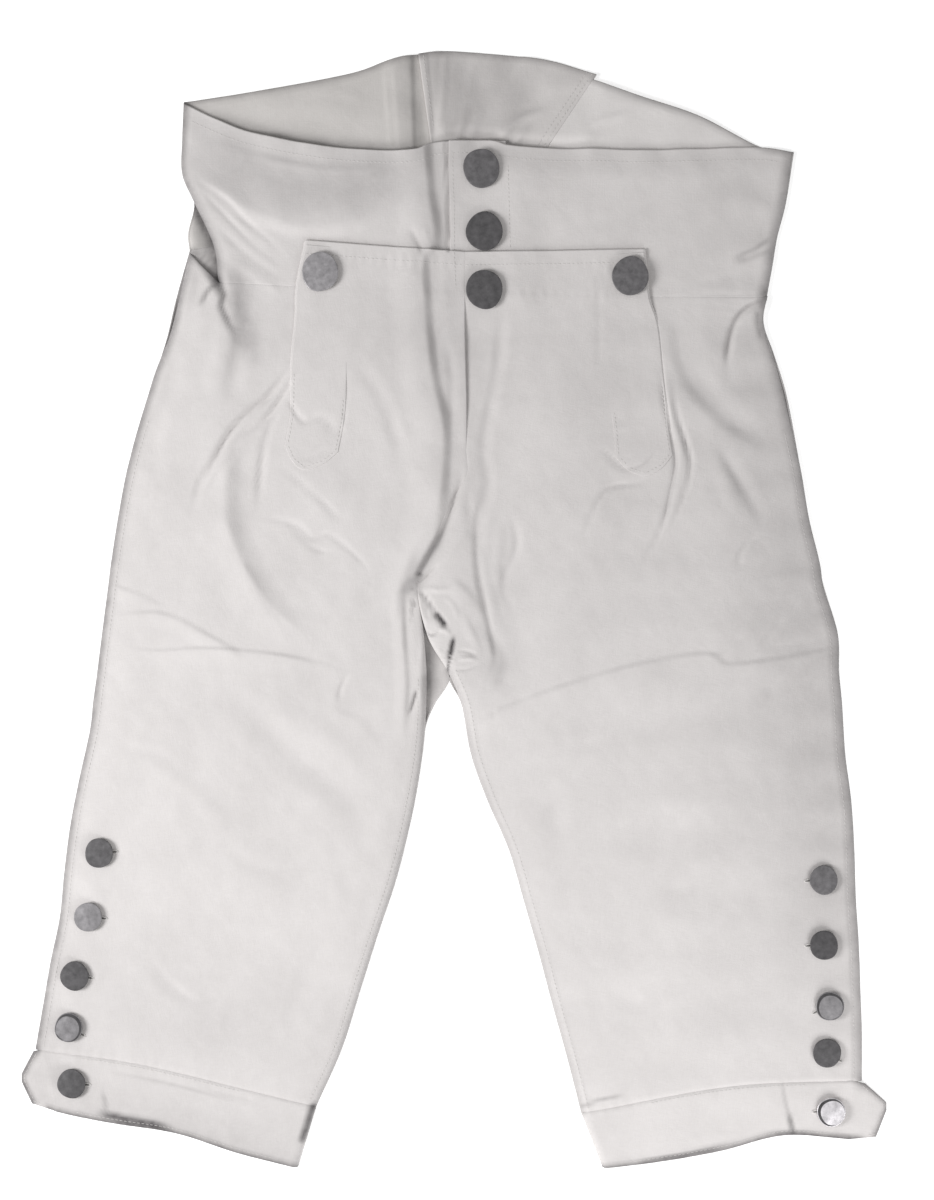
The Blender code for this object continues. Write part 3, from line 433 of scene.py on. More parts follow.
INSIDE_BACK_CREASES = (
    # The seam allowance beside the gusset, and the fold that shadows it
    crease(3.2, 16, 10, 0, (-26, 286), (-29, 329), (-33, 368), ends="none"),
    crease(0.5, 1.6, 4, 0.4, (-42, 303), (-44, 329), (-46, 354), ends="none"),
    crease(0.4, 1.2, 3, 0.4, (-36, 303), (-38, 329), (-40, 354), ends="none"),
    # Folds round the point of the gusset
    crease(1.5, 7, 15, 0, (10, 306), (20, 325), (34, 340), (50, 366), ends="none"),
    crease(0.6, 3, 3, 0, (-10, 320), (-7, 342), (-6, 366), ends="none"),
    crease(0.6, 4, 5, 0, (4, 312), (8, 335), (14, 366), ends="none"),
    crease(1.4, 3, 4, 0.1, (9, 303), (12, 317), (18, 335)),
    crease(1.6, 4, 4, 0.1, (26, 303), (34, 316), (45, 325), (65, 331)),
    crease(1.1, 3, 3, 0.1, (35, 300), (42, 311), (51, 320)),
    crease(1.2, 12, 9, 0, (57, 339), (70, 346), (90, 349)),
    # The left half
    crease(0.9, 4, 5, 0.3, (86, 317), (103, 325), (124, 330)),
    crease(0.6, 6, 7, 0, (96, 339), (129, 332), (162, 321)),
    # The right half
    crease(1, 15, 15, 0, (-151, 333), (-95, 333), (-46, 324)),
    crease(0.7, 6, 6, 0, (-115, 341), (-82, 343), (-52, 337)),
)
# The back's side seam stands up where the front leaves it open
OPEN_SIDE_CREASES = (
    crease(3.2, 3, 30, 0, (-190, 196), (-181, 222), (-177, 238), (-176, 254), (-170, 276)),
)
# Pressed creases on the underside, which rests on the table
UNDERSIDE_CREASES = (
    crease(0.8, 7, 9, 0.2, (-215, -10), (-160, -2), (-90, -22), (-40, -16)),
    crease(0.7, 6, 8, 0.3, (-225, -60), (-170, -84), (-100, -92)),
    crease(0.8, 5, 8, 0.3, (-190, 60), (-150, 38), (-96, 44), (-60, 30)),
    crease(0.6, 6, 6, 0.2, (-120, 150), (-128, 100), (-110, 70)),
    crease(0.6, 7, 7, 0, (-230, -170), (-180, -196), (-120, -190)),
    crease(0.7, 6, 9, 0.3, (-40, 190), (-34, 130), (-20, 70)),
    crease(0.6, 5, 7, 0.3, (-250, -250), (-200, -262), (-150, -255)),
    crease(0.8, 7, 9, 0.2, (30, -30), (90, -14), (160, -20), (236, -6)),
    crease(0.7, 6, 8, 0.3, (50, -80), (120, -96), (190, -86)),
    crease(0.8, 5, 8, 0.3, (60, 36), (110, 52), (160, 40), (200, 62)),
    crease(0.6, 6, 6, 0.2, (118, 80), (136, 118), (126, 160)),
    crease(0.6, 7, 7, 0, (110, -190), (170, -176), (240, -186)),
    crease(0.7, 6, 9, 0.3, (24, 80), (40, 130), (44, 186)),
    crease(0.6, 5, 7, 0.3, (120, -262), (190, -250), (246, -262)),
)


# ---- Smooth lines and their heights ----


def smoothstep(value):
    value = np.clip(value, 0.0, 1.0)
    return value * value * (3 - 2 * value)


def eased(value, start, reach):
    """0 up to the start, then gently up to 1 over the reach."""
    return smoothstep((value - start) / reach)


def curve(points, places):
    """Points on a smooth curve through the listed ones, at places counted in listed points."""
    listed = np.asarray(points, float)
    places = np.atleast_1d(np.asarray(places, float))
    padded = np.vstack([2 * listed[:1] - listed[1:2], listed, 2 * listed[-1:] - listed[-2:-1]])
    index = np.clip(places.astype(int), 0, len(listed) - 2)
    part = (places - index)[:, None]
    a, b, c, d = (padded[index + step] for step in range(4))
    cubic = 3 * b - a - 3 * c + d
    square = 2 * a - 5 * b + 4 * c - d
    return 0.5 * (2 * b + (c - a) * part + square * part**2 + cubic * part**3)


def drawn(points, steps_each=7):
    """A listed line as a fine polyline."""
    last = len(points) - 1
    return curve(points, np.linspace(0, last, last * steps_each + 1))


def nearest_on(line, x, y):
    """Signed distance to a polyline, positive on its left, and the length run along it."""
    start = line[:-1]
    run = line[1:] - start
    length = np.hypot(run[:, 0], run[:, 1])
    length_to = np.concatenate([[0], np.cumsum(length)])
    from_x = x[:, None] - start[:, 0]
    from_y = y[:, None] - start[:, 1]
    part = np.clip((from_x * run[:, 0] + from_y * run[:, 1]) / length**2, 0, 1)
    squared = (from_x - part * run[:, 0])**2 + (from_y - part * run[:, 1])**2
    best = squared.argmin(axis=1)
    pick = np.arange(len(x)), best
    side = np.sign(run[best, 0] * from_y[pick] - run[best, 1] * from_x[pick])
    return side * np.sqrt(squared[pick]), length_to[best] + part[pick] * length[best], length_to[-1]


def by_line(points, reach, x, y):
    """Which places are near a smooth line, their distance to it, run along it, and its length."""
    line = drawn(points)
    low, high = line.min(axis=0) - reach, line.max(axis=0) + reach
    near = (x > low[0]) & (x < high[0]) & (y > low[1]) & (y < high[1])
    return (near, *nearest_on(line, x[near], y[near]))


def falloff(share, sharp=0):
    """1 at the crest and 0 at the foot, round at the crest or with a corner there."""
    left_over = np.clip(1 - share, 0, 1)
    return left_over**2 * (1 + 2 * (1 - sharp) * np.clip(share, 0, 1))


def faded(run, length, ends, part):
    """1 along a line, but down to 0 over a part of its length at the ends that fade out."""
    fade = np.ones_like(run)
    if ends in ("both", "start"):
        fade *= smoothstep(run / (part * length))
    if ends in ("both", "end"):
        fade *= smoothstep((length - run) / (part * length))
    return fade


def creases_height(creases, x, y):
    """Height that creases add. Each wanders and swells a little along its run, by its number."""
    flat_x, flat_y = np.ravel(x).astype(float), np.ravel(y).astype(float)
    total = np.zeros_like(flat_x)
    for number, fold in enumerate(creases):
        reach = max(fold.left, fold.right * (3 if fold.hollow else 1)) + 2
        near, away, run, length = by_line(fold.points, reach, flat_x, flat_y)
        swell_length = 31 + 7 * (number % 5)
        if fold.ends != "none":
            wander = min(WANDER_MOST, WANDER_SHARE * min(fold.left, fold.right))
            away = away + wander * np.sin(run / swell_length * 4.1 + number * 1.7)
        right_share = -away / fold.right
        height = fold.height * falloff(np.where(away > 0, away / fold.left, right_share), fold.sharp)
        if fold.hollow:
            height -= fold.hollow * falloff(np.abs(right_share - HOLLOW_PLACE) / HOLLOW_PLACE)
        swell = 1 + SWELL * np.sin(run / swell_length * 6.3 + number * 2.4)
        total[near] += height * faded(run, length, fold.ends, CREASE_FADE) * swell
    return total.reshape(np.shape(x))


def waves(count, shortest, longest):
    """Faint waves in every direction, which keep laid cloth from being quite flat."""
    lengths = RANDOM.uniform(shortest, longest, count)
    turns = RANDOM.uniform(0, 2 * math.pi, count)
    phases = RANDOM.uniform(0, 2 * math.pi, count)
    return list(zip(2 * math.pi * np.cos(turns) / lengths, 2 * math.pi * np.sin(turns) / lengths, phases))


WAVES = ((0.13, waves(16, 50, 130)), (0.018, waves(22, 11, 26)))  # height and waves: broad, then small


def unevenness(x, y):
    total = np.zeros(np.shape(x))
    for height, group in WAVES:
        for along_x, along_y, phase in group:
            total = total + height * np.sin(along_x * x + along_y * y + phase)
    return total


def points_of(rows, which):
    """The outer, inner, slit or centre points of rows."""
    return [(getattr(row, which + "_x"), getattr(row, which + "_y")) for row in rows]


def upward(points):
    return sorted(points, key=lambda point: point[1])


def inwards(side):
    """Sign of X on the way from the piece's outer edge to the centre."""
    return 1 if side == "right" else -1


def side_line(side):
    """The leg's outer edge from the waistband to the knee."""
    return [LEG_CORNER[side], *points_of(SIDE_ROWS[side][1:-1] + FRONT_ROWS[side], "outer")]


def inseam_line(side, least_roll=1):
    return points_of([row for row in FRONT_ROWS[side] if row.roll >= least_roll], "inner")


def knee_line(side):
    ends = FRONT_ROWS[side][-1:]
    return *points_of(ends, "outer"), KNEE_BEND[side], *points_of(ends, "inner")


def front_top():
    """The front waistband's top edge from the right side to the left."""
    right, left = (FRONT_BANDS[side]["top"] for side in SIDES)
    return (*right[:-2], *left[::-1])


def outline_creases():
    """The falling away at the outline, and the grooves at the seams, from the shape tables."""
    made = []
    for side in SIDES:
        sides, band_side = side_line(side), FRONT_BANDS[side]["outer"]
        if side == "left":
            sides = [*band_side[:-1], *sides]
        else:
            made.append(crease(-0.9, 7, 7, 0.4, *upward(band_side), ends="start"))
        drop, reach = OUTLINE_FALL[side]
        made += [
            crease(-drop, reach, reach, 0.4, *upward(sides), ends="none"),
            crease(-OUTLINE_DROP, OUTLINE_REACH, OUTLINE_REACH, 0.4, *upward(inseam_line(side, 0.5)),
                   ends="end"),
            crease(-0.45, 2, 2, 1, *knee_line(side), ends="none"),
            crease(-0.12, 1.9, 1.9, 1, *FRONT_BANDS[side]["bottom"], ends="none"),
        ]
    centre = ((-24, 15), (-16, 35), (-4, 67), (8, 88), (8, 105), (8, 138), (7, 178), (8, 206))
    made.append(crease(-0.2, 1.9, 1.9, 1, *centre, ends="none"))
    return tuple(made)


EDGE_CREASES = (
    crease(-2.4, 20, 20, 0.3, *front_top(), ends="none"),
    crease(1.9, 14, 14, 0, (-150, 321), (-118, 311), (-90, 306), (-62, 303)),
)
FRONT_CREASES = (
    outline_creases() + EDGE_CREASES + CENTRE_CREASES + FORK_CREASES + RIGHT_LEG_CREASES + LEFT_LEG_CREASES
    + WAIST_CREASES
)

Puckers = namedtuple("Puckers", "height reach length points")


def puckered_seams():
    """Where thread has drawn the cloth up in little puckers across the stitching."""
    made = []
    for side in SIDES:
        fall = FALL_ROWS[side][0]
        hem = ((fall.slit_x, fall.slit_y - FALL_HEM), (fall.centre_x, fall.centre_y - FALL_HEM))
        made += rows_of(
            Puckers, (0.20, 7, 6.3, hem), (0.13, 5, 7.1, FRONT_BANDS[side]["bottom"]),
            (0.10, 6, 8.3, FRONT_BANDS[side]["top"]), (0.16, 8, 7.7, knee_line(side)),
            (0.12, 7, 8.9, HEMS[side]), (0.15, 9, 9.7, inseam_line(side)),
            (0.13, 9, 10.3, points_of(FRONT_ROWS[side], "outer")))
    return made


PUCKERED = puckered_seams()


def puckering(x, y):
    flat_x, flat_y = np.ravel(x).astype(float), np.ravel(y).astype(float)
    total = np.zeros_like(flat_x)
    for number, seam in enumerate(PUCKERED):
        near, away, run, _ = by_line(seam.points, seam.reach, flat_x, flat_y)
        ripple = np.sin(run * 2 * math.pi / seam.length + 1.9 * np.sin(run / 23 + number))
        patchy = 0.55 + 0.45 * np.sin(run / 37 + 2.1 * number)
        total[near] += seam.height * ripple * patchy * falloff(np.abs(away) / seam.reach)
    return total.reshape(np.shape(x))


def front_level(x, y):
    """Outer face of the front over the table. It never sinks into the back layer."""
    height = FRONT_LEVEL + unevenness(x, y) + puckering(x, y) + creases_height(FRONT_CREASES, x, y)
    return LOWEST_FRONT + FLOOR_SOFTNESS * np.logaddexp(0, (height - LOWEST_FRONT) / FLOOR_SOFTNESS)


def back_level(x, y):
    """Outer face of the back over the table: pressed creases, and the open back's own folds.

    In the open, past the front's top edge, the right half, the gusset and the left half each stand
    up in their own way.
    """
    pressed = np.clip(creases_height(UNDERSIDE_CREASES, x, y), 0, 0.8)
    pressed = pressed + creases_height(OPEN_SIDE_CREASES, x, y)
    edge = drawn(front_top())
    above = y - np.interp(x, edge[:, 0], edge[:, 1])
    left_share = eased(x, 84, 16)
    gusset_share = eased(x, -14, 8) * (1 - left_share)
    below_top = np.interp(x, *np.transpose(sorted(BACK_BANDS["left"]["top"]))) - y
    right_stand = 0.8 * eased(above, 0, 34)
    left_stand = 3.2 * eased(above, -6, 48) * eased(below_top, -24, 30)
    gusset_stand = 2.6 * eased(above, 0, 10) * (1 - eased(above, 4, 60))
    stand = 0.4 + (1 - left_share - gusset_share) * right_stand
    stand = stand + left_share * left_stand + gusset_share * gusset_stand
    folds = np.clip(creases_height(INSIDE_BACK_CREASES, x, y) + stand, 0, 6)
    return pressed + eased(above, -1.5, 9) * folds


def overlap_lift(x):
    """How far the lap of the left waistband over the right one lifts what lies on it."""
    lap_start, lap_end = -3, 37
    run_in, run_out = 20, 30
    rise = np.where(x < lap_start, 1 + (x - lap_start) / run_in, 1 - (x - lap_end) / run_out)
    return PLY * smoothstep(rise)


# ---- Painted shade ----
#
# Painted shade is darkness painted into the cloth's colour where shade falls: at the outline, in folds, gapes
# and hems, and broadly where less light reaches. Each has how much, how far to each side of a smooth line of
# points, and which ends fade out.
Soil = namedtuple("Soil", "strength reach points ends")
PAINTED_SHADE_FADE = 0.3


def soil(strength, reach, *points, ends="both"):
    return Soil(strength, reach, points, ends)


def painted_outline_shade():
    """Painted shade darkening the edges all round, and a faint darker line where the felled seams end."""
    made = []
    for side, strength, reach in (("right", 0.64, 6.8), ("left", 0.40, 10.0)):
        outer, inseam, hem = points_of(FRONT_ROWS[side], "outer"), inseam_line(side), HEMS[side]
        root_top, root_bottom = TAB_ROOTS[side]
        tab = (outer[-1], root_top, *TAB_TIPS[side], root_bottom)
        inset = (FELLED + 1) * inwards(side)
        lines = (
            (strength, reach, side_line(side)), (0.3, 5, inseam), (strength, 5, tab), (0.4, 5, hem),
            (0.6, 2.4, hem), (0.4, 2.4, tab), (strength, reach, FRONT_BANDS[side]["outer"]),
            (0.4, 4.5, BACK_BANDS[side]["top"]), (0.08, 1.8, [(x + inset, y) for x, y in outer]),
            (0.08, 1.8, [(x - inset, y) for x, y in inseam]))
        made += [soil(some, far, *line, ends="none") for some, far, line in lines]
    made.append(soil(0.4, 4.5, *GUSSET["top"], ends="none"))
    return made


PAINTED_OUTLINE_SHADE = painted_outline_shade()
FRONT_PAINTED_SHADE = (
    # Painted shade in the gapes at the fork, and in the folds that run up from it
    soil(0.97, 2.9, *UPPER_GAPE),
    soil(0.97, 2.8, (-3.6, -35), (-2.6, -31), (-1.2, -26), (-0.5, -21), (-0.4, -16)),
    soil(0.8, 1.5, *GAPE_TAIL, ends="none"),
    soil(0.3, 1.8, *FORK_NOTCH),
    soil(0.22, 1.6, *FORK_CRUMPLE),
    soil(0.42, 1.7, (-29.4, -70), (-28.4, -66.7), (-25.1, -54.8), (-24.4, -51)),
    soil(0.3, 4.5, (-32, 2), (-26, 16), (-21, 28), (-12, 44), (-5, 58)),
    soil(0.16, 2.2, (-10, 46), (-4.2, 58.7), (0, 72), (5.2, 86)),
    soil(0.26, 2.6, (23, -50), (27, -33), (21.8, -7), (18.5, 9), (15, 27), (14, 44), (16, 62)),
    soil(0.12, 4, (-11, 236), (-10, 254), (-14, 273), (-17, 308), (-17, 320)),
    # Painted shade, broad: darker over the waist, the seat of the fall, down the middle, along the left leg's
    # outer side and over the right knee and shin; then narrow lines at the lap's edge, in the deep centre
    # fold and by the fork
    soil(0.21, 34, (-200, 308), (-140, 288), (-95, 278), (-50, 284), (0, 300)),
    soil(0.085, 62, (-150, 200), (-40, 178), (60, 176), (190, 190)),
    soil(0.17, 84, (246, -330), (262, -190), (258, -60), (246, 20), (226, 110), (206, 220)),
    soil(0.22, 58, (-300, -290), (-250, -338), (-180, -354), (-110, -380), (-60, -400), ends="none"),
    soil(0.1, 72, (-320, -236), (-200, -262), (-130, -280), (-40, -310)),
    soil(0.3, 1.5, (-3, 245), (-3.4, 262), (-4.2, 308), ends="none"),
    soil(0.1, 4.5, (-9, 60), (-4.6, 85), (-4, 110), (-9, 140), (-14, 165), (-17, 200), (-17, 236)),
    soil(0.12, 33, (-8, 340), (-10, 250), (-4, 180), (4, 100), (14, 40), (20, -10), (26, -36), ends="none"),
    soil(0.06, 22, (-14, 380), (-16, 250), (-14, 160), (-10, 80)),
    soil(0.34, 5.4, (-40, 4), (-31, 14), (-25, 22), (-19, 32), (-12, 43), (-4, 58)),
    soil(0.24, 6, (-36, -12), (-33, 12), (-27, 30), (-21, 44)),
    soil(0.15, 6, (14, -8), (24, -20), (30, -30), (31, -40), (24, -58)),
    # Painted shade in the pulls at the right slit, and in the hollow beside the open side
    soil(0.12, 2.2, (-171, 69), (-158, 100), (-146, 119), (-131, 135), (-109, 158)),
    soil(0.28, 4.6, (-150, 200), (-154, 208), (-160, 217), (-164, 224), (-169, 233), (-174, 243)),
    soil(0.13, 12, (-138, 170), (-141, 190), (-143, 202), (-150, 212)),
    soil(0.36, 14, (-150, 236), (-146, 222), (-142, 204), (-139, 188), (-135, 170), (-130, 154)),
    soil(0.5, 4.4, (-177, 239), (-171, 232), (-163, 224), (-156, 216), ends="none"),
    soil(0.42, 2.8, *WAIST_NICK),
    soil(0.46, 3.2, *WAIST_PULL),
    # Painted shade in the folds of the hip, waist and slit on the left, and broadly down the left leg's
    # middle
    soil(0.09, 9, (213, 111), (195, 117), (177, 127), (162, 144), (152, 160), (147, 180)),
    soil(0.1, 4, (205, 54), (193, 76), (184, 90), (170, 112)),
    soil(0.3, 2.4, (180, 160), (182, 178), (186, 191), (193, 199), (205, 205), (214, 208)),
    soil(0.3, 4, (205, 176), (203, 190), (204, 208)),
    soil(0.3, 2.8, (182, 231), (190, 234), (199, 238), (212, 247)),
    soil(0.22, 9, (207, 208), (212, 235), (217, 260), (224, 290), ends="none"),
    soil(0.12, 2.4, (140, 50), (147, 64), (153, 80), (156, 96), (152, 112), (147, 128), (144, 146)),
    soil(0.1, 2.2, (124, 30), (130, 40), (138, 56), (143, 76), (146, 95), (142, 122), (138, 143)),
    soil(0.09, 2.2, (86, 50), (92, 66), (101, 79), (116, 82), (134, 84)),
    soil(0.06, 70, (110, 230), (110, 100), (110, 10), (112, -110)),
    soil(0.14, 1.8, *BELOW_LEFT_SLIT),
    # Painted shade along the long fold over the right thigh
    soil(0.1, 6, (-92, -30), (-108, -16), (-128, 10), (-139, 36), (-145, 66), (-144, 98), (-140, 118)),
    # Painted shade in soft folds across the right leg, above the knee and on it, and broadly down the left
    # leg's outer side
    soil(0.05, 10, (-166, -48), (-141, -68), (-116, -91), (-91, -118), (-76, -132), (-64, -150)),
    soil(0.06, 4.5, (-80, -44), (-77, -56), (-76, -66), (-64, -72), (-54, -82), (-42, -99)),
    soil(0.05, 7, (-84, -148), (-80, -168), (-74, -186), (-72, -204)),
    soil(0.06, 3.4, *SLACK_ABOVE_KNEE),
    soil(0.05, 60, (214, -200), (206, -100), (200, 0), (196, 60)),
    # Painted shade at the hems where they turn under, and beside the underlap and the tabs
    soil(1, 4.8, (-239, -332), (-228, -334.5), (-214, -337.5), (-198, -340.5), (-182, -344)),
    soil(0.86, 4.4, (-93.5, -329), (-96, -338), (-100, -350), ends="none"),
    soil(0.34, 2, (78, -331), (90, -326.5), (100, -323), (116, -319)),
    soil(0.26, 2.4, *LEFT_UNDERLAP),
    soil(0.5, 3.4, (226, -356), (223.5, -346), (222, -338), (221, -330)),
    soil(0.62, 3, (112, -368), (134, -363), (156, -359), (190, -351)),
    soil(0.62, 3, (200, -346), (226, -346.5), (250, -349), (286, -351)),
    soil(0.3, 2.8, (-234, -342), (-231, -334), (-230, -326), (-233, -316)),
    soil(0.18, 2, (-232, -305), (-192, -313), (-150, -322), (-120, -330)),
)
BACK_PAINTED_SHADE = (
    # Painted shade behind the front's edge, in the folds beside the gusset, and broadly over the gusset
    soil(0.34, 8, (-196, 342), (-167, 330), (-144.5, 321), (-121, 313), (-95, 308.5), (-50, 305), (0, 304)),
    soil(0.26, 12, (-38, 372), (-34, 345), (-30, 304), ends="none"),
    soil(0.34, 2.6, (-27.7, 372), (-27, 340), (-26, 304), ends="none"),
    soil(0.3, 2.6, (-18.6, 372), (-16, 340), (-14, 304), ends="none"),
    soil(0.28, 26, (-20, 390), (0, 352), (8, 330), (4, 270)),
    soil(0.2, 18, (20, 392), (34, 350), (40, 330), (30, 286)),
    # Painted shade in the open side, and on the back layer where it shows at the fork
    soil(0.4, 10, (-150, 196), (-160, 232), (-168, 252), (-176, 276), (-182, 300)),
    soil(0.5, 13, (-15, -62), (-18, -44), (-17, -30), (-12, -16)),
    soil(0.42, 4.6, (-156, 232), (-159.5, 241), (-163, 248), (-167, 257), (-173, 271), (-176, 280)),
    soil(0.36, 4.6, (-156, 210), (-160, 217), (-164, 224), (-169, 233), (-174, 243)),
)


def painted_shading(soils, x, y):
    """Share of painted shade at each point, from 0 to 1."""
    unshaded = np.ones_like(x)
    for some in soils:
        near, away, run, length = by_line(some.points, some.reach, x, y)
        share = some.strength * falloff(np.abs(away) / some.reach)
        unshaded[near] *= 1 - share * faded(run, length, some.ends, PAINTED_SHADE_FADE)
    return 1 - unshaded


# ---- Grids and walls ----

Grid = namedtuple("Grid", "points inward")
Columns = namedtuple("Columns", "place angle inner")


def columns(last, steps, outer_roll=0, inner_roll=0):
    """Columns of a grid: place, angle round a rolled edge, and whether it belongs to the inner edge.

    A roll is given by its width, in the same count of listed points; 0 is an edge left plain.
    """
    swing = 1 - np.cos(np.radians(ROLL_ANGLES))
    start = outer_roll * swing[:-1] if outer_roll else np.empty(0)
    finish = last - inner_roll * swing[::-1][1:] if inner_roll else np.empty(0)
    place = np.concatenate([start, steps, finish])
    angle = np.concatenate([ROLL_ANGLES[: len(start)], np.full(len(steps), 90),
                            ROLL_ANGLES[::-1][1:][: len(finish)]])
    return Columns(place, angle, np.arange(len(place)) >= len(start) + len(steps))


def spread(start, end, length, step):
    """Places from start to end, for cloth of that length at that spacing, closer at both ends."""
    count = max(2, int(round(length / step)))
    each = (end - start) / count
    near = [start + each * 0.25, start + each * 0.55, end - each * 0.55, end - each * 0.25]
    return np.unique(np.concatenate([np.linspace(start, end, count + 1), near]))


def graded(*runs):
    """Places through (start, end, length, step) runs, each evenly spread."""
    listed = [np.linspace(start, end, max(2, round(length / step)) + 1)[:-1]
              for start, end, length, step in runs]
    return np.concatenate([*listed, [runs[-1][1]]])


def patch(edges, places, rows, straight=(), knots=None):
    """Grid of flat points between four edges (a Coons patch), in rows from the top down.

    straight names the ends that run in straight lines between their listed points, and knots has
    the places of the top's points, where they aren't one apart.
    """
    def end_points(name, at):
        end = np.asarray(edges[name], float)
        if name in straight:
            return np.column_stack([np.interp(places, at or range(len(end)), axis) for axis in end.T])
        return curve(end, places)

    top, bottom = np.asarray(edges["top"], float), np.asarray(edges["bottom"], float)
    outer, inner = edges["outer"], edges["inner"]
    across = (places / (len(bottom) - 1))[None, :, None]
    down = (rows / (len(outer) - 1))[:, None, None]
    corners = (1 - down) * ((1 - across) * top[0] + across * top[-1])
    corners = corners + down * ((1 - across) * bottom[0] + across * bottom[-1])
    sides = (1 - across) * curve(outer, rows)[:, None] + across * curve(inner, rows)[:, None]
    ends = (1 - down) * end_points("top", knots)[None] + down * end_points("bottom", None)[None]
    return ends + sides - corners


def laid(flat, cols, level, facing, rolls=(0, 0), lift=0):
    """Give a flat grid its height and its rolled edges.

    rolls has how far the outer and the inner edge turn towards the seam, for all rows or for each.
    """
    x, y = flat[..., 0], flat[..., 1]
    run = flat[:, -1] - flat[:, 0]
    run = run / np.linalg.norm(run, axis=1)[:, None]
    rolls = np.broadcast_to(np.asarray(rolls, float), (len(flat), 2))
    roll = np.where(cols.inner[None, :], rolls[:, 1:2], rolls[:, 0:1])
    turn = roll * (1 - np.sin(np.radians(cols.angle)))
    sideways = roll * np.cos(np.radians(cols.angle)) * np.where(cols.inner, -1, 1)
    height = level(x, y) + lift
    z = height + turn * (SEAM_LEVEL - facing * SEAM_GAP / 2 - height)
    inward = np.dstack([run[:, None, 0] * sideways, run[:, None, 1] * sideways, facing * (1 - turn)])
    inward /= np.linalg.norm(inward, axis=2)[..., None]
    return Grid(np.dstack([x, y, z]), inward)


class Skin:
    """The outer face of a piece: points that know the way inward, and quads between them."""

    def __init__(self, grid=None):
        self.points = np.empty((0, 3))
        self.inward = np.empty((0, 3))
        self.quads = np.empty((0, 4), int)
        if grid:
            self.add(grid)

    def add(self, grid, reused=()):
        """Add a grid and return its vertex numbers. reused has a place in it and the numbers there."""
        numbers = np.full(grid.points.shape[:2], -1)
        if reused:
            where, known = reused
            numbers[where] = known
        fresh = numbers < 0
        numbers[fresh] = len(self.points) + np.arange(fresh.sum())
        self.points = np.vstack([self.points, grid.points[fresh]])
        self.inward = np.vstack([self.inward, grid.inward[fresh]])
        corners = (numbers[:-1, :-1], numbers[:-1, 1:], numbers[1:, 1:], numbers[1:, :-1])
        self.quads = np.vstack([self.quads, np.stack(corners, axis=-1).reshape(-1, 4)])
        return numbers

    def turned_outward(self):
        """Quads in the order that makes their normals face away from the inner side."""
        a, b, d = (self.points[self.quads[:, corner]] for corner in (0, 1, 3))
        facing = (np.cross(b - a, d - a) * self.inward[self.quads[:, 0]]).sum(axis=1)
        return self.quads[:, ::-1] if np.median(facing) > 0 else self.quads


def add_mesh(name, points, faces, *finishes, cut=None, dirt=None, second=slice(0)):
    """A smooth-shaded object from points in millimetres, joined to the scene.

    cut is each point's place on the cloth, dirt how much painted shade darkens the cloth there,
    and second the run of faces that have the second finish.
    """
    mesh = bpy.data.meshes.new(name)
    mesh.from_pydata((np.asarray(points) * MM).tolist(), [], faces)
    mesh.shade_smooth()
    if cut is not None:
        corners = np.empty(len(mesh.loops), np.int32)
        mesh.loops.foreach_get("vertex_index", corners)
        layer = mesh.uv_layers.new(name="cut")
        layer.data.foreach_set("uv", (cut[corners] * MM).astype(np.float32).ravel())
    # The painted shade goes on the mesh as a point attribute, which the cloth's material reads
    if dirt is not None:
        mesh.attributes.new("soil", "FLOAT", "POINT").data.foreach_set("value", dirt.astype(np.float32))
    for finish in finishes:
        mesh.materials.append(finish)
    which = np.zeros(len(faces), np.int32)
    which[second] = 1
    mesh.polygons.foreach_set("material_index", which)
    made = bpy.data.objects.new(name, mesh)
    bpy.context.scene.collection.objects.link(made)
    return made


def lengths_of(vectors):
    return np.linalg.norm(vectors, axis=1)[:, None]


def wall(name, skin, finishes, soils, grain=0, thickness=CLOTH):
    """Close a skin into a wall: the inner face, and a rounded rim along every free edge.

    grain is the angle in degrees that the warp leans from the Y axis. A second finish is the inside's.
    """
    quads = skin.turned_outward()
    count = len(skin.points)
    starts = quads.ravel()
    ends = np.roll(quads, -1, axis=1).ravel()
    free = ~np.isin(starts * count + ends, ends * count + starts)
    starts, ends = starts[free], ends[free]
    run = skin.points[ends] - skin.points[starts]
    run /= np.maximum(lengths_of(run), 1e-9)
    out = np.zeros_like(skin.points)
    for corner in (starts, ends):
        np.add.at(out, corner, np.cross(run, -skin.inward[corner]))
    rim = np.unique(starts)
    out = out[rim] / np.maximum(lengths_of(out[rim]), 1e-9)
    middle = skin.points[rim] + skin.inward[rim] * thickness / 2 + out * thickness * CORNER_ROUNDING
    number_of = np.full(count, -1)
    number_of[rim] = 2 * count + np.arange(len(rim))
    faces = quads.tolist() + (quads[:, ::-1] + count).tolist()
    faces += np.column_stack([ends, starts, number_of[starts], number_of[ends]]).tolist()
    faces += np.column_stack([number_of[ends], number_of[starts], starts + count, ends + count]).tolist()
    points = np.vstack([skin.points, skin.points + skin.inward * thickness, middle])
    lean = math.radians(grain)
    turn = np.array([[math.cos(lean), -math.sin(lean)], [math.sin(lean), math.cos(lean)]])
    inside = slice(len(quads), 2 * len(quads)) if len(finishes) > 1 else slice(0)
    # Every point carries its share of painted shade
    return add_mesh(name, points, faces, *finishes, cut=points[:, :2] @ turn.T,
                    dirt=painted_shading(soils, points[:, 0], points[:, 1]), second=inside)


# ---- The cloth pieces ----


def pulled_in(points, towards):
    """Edge points moved half a seam gap along X towards the piece, all but the last."""
    step = math.copysign(SEAM_GAP / 2, towards)
    return [(x + step, y) for x, y in points[:-1]] + [points[-1]]


def rolls_of(rows, places):
    """How far each row's outer and inner edge roll: the outer one always does, fully."""
    listed = [row.roll for row in rows]
    inner = np.interp(places, range(len(listed)), listed)
    return np.column_stack([np.ones_like(inner), inner])


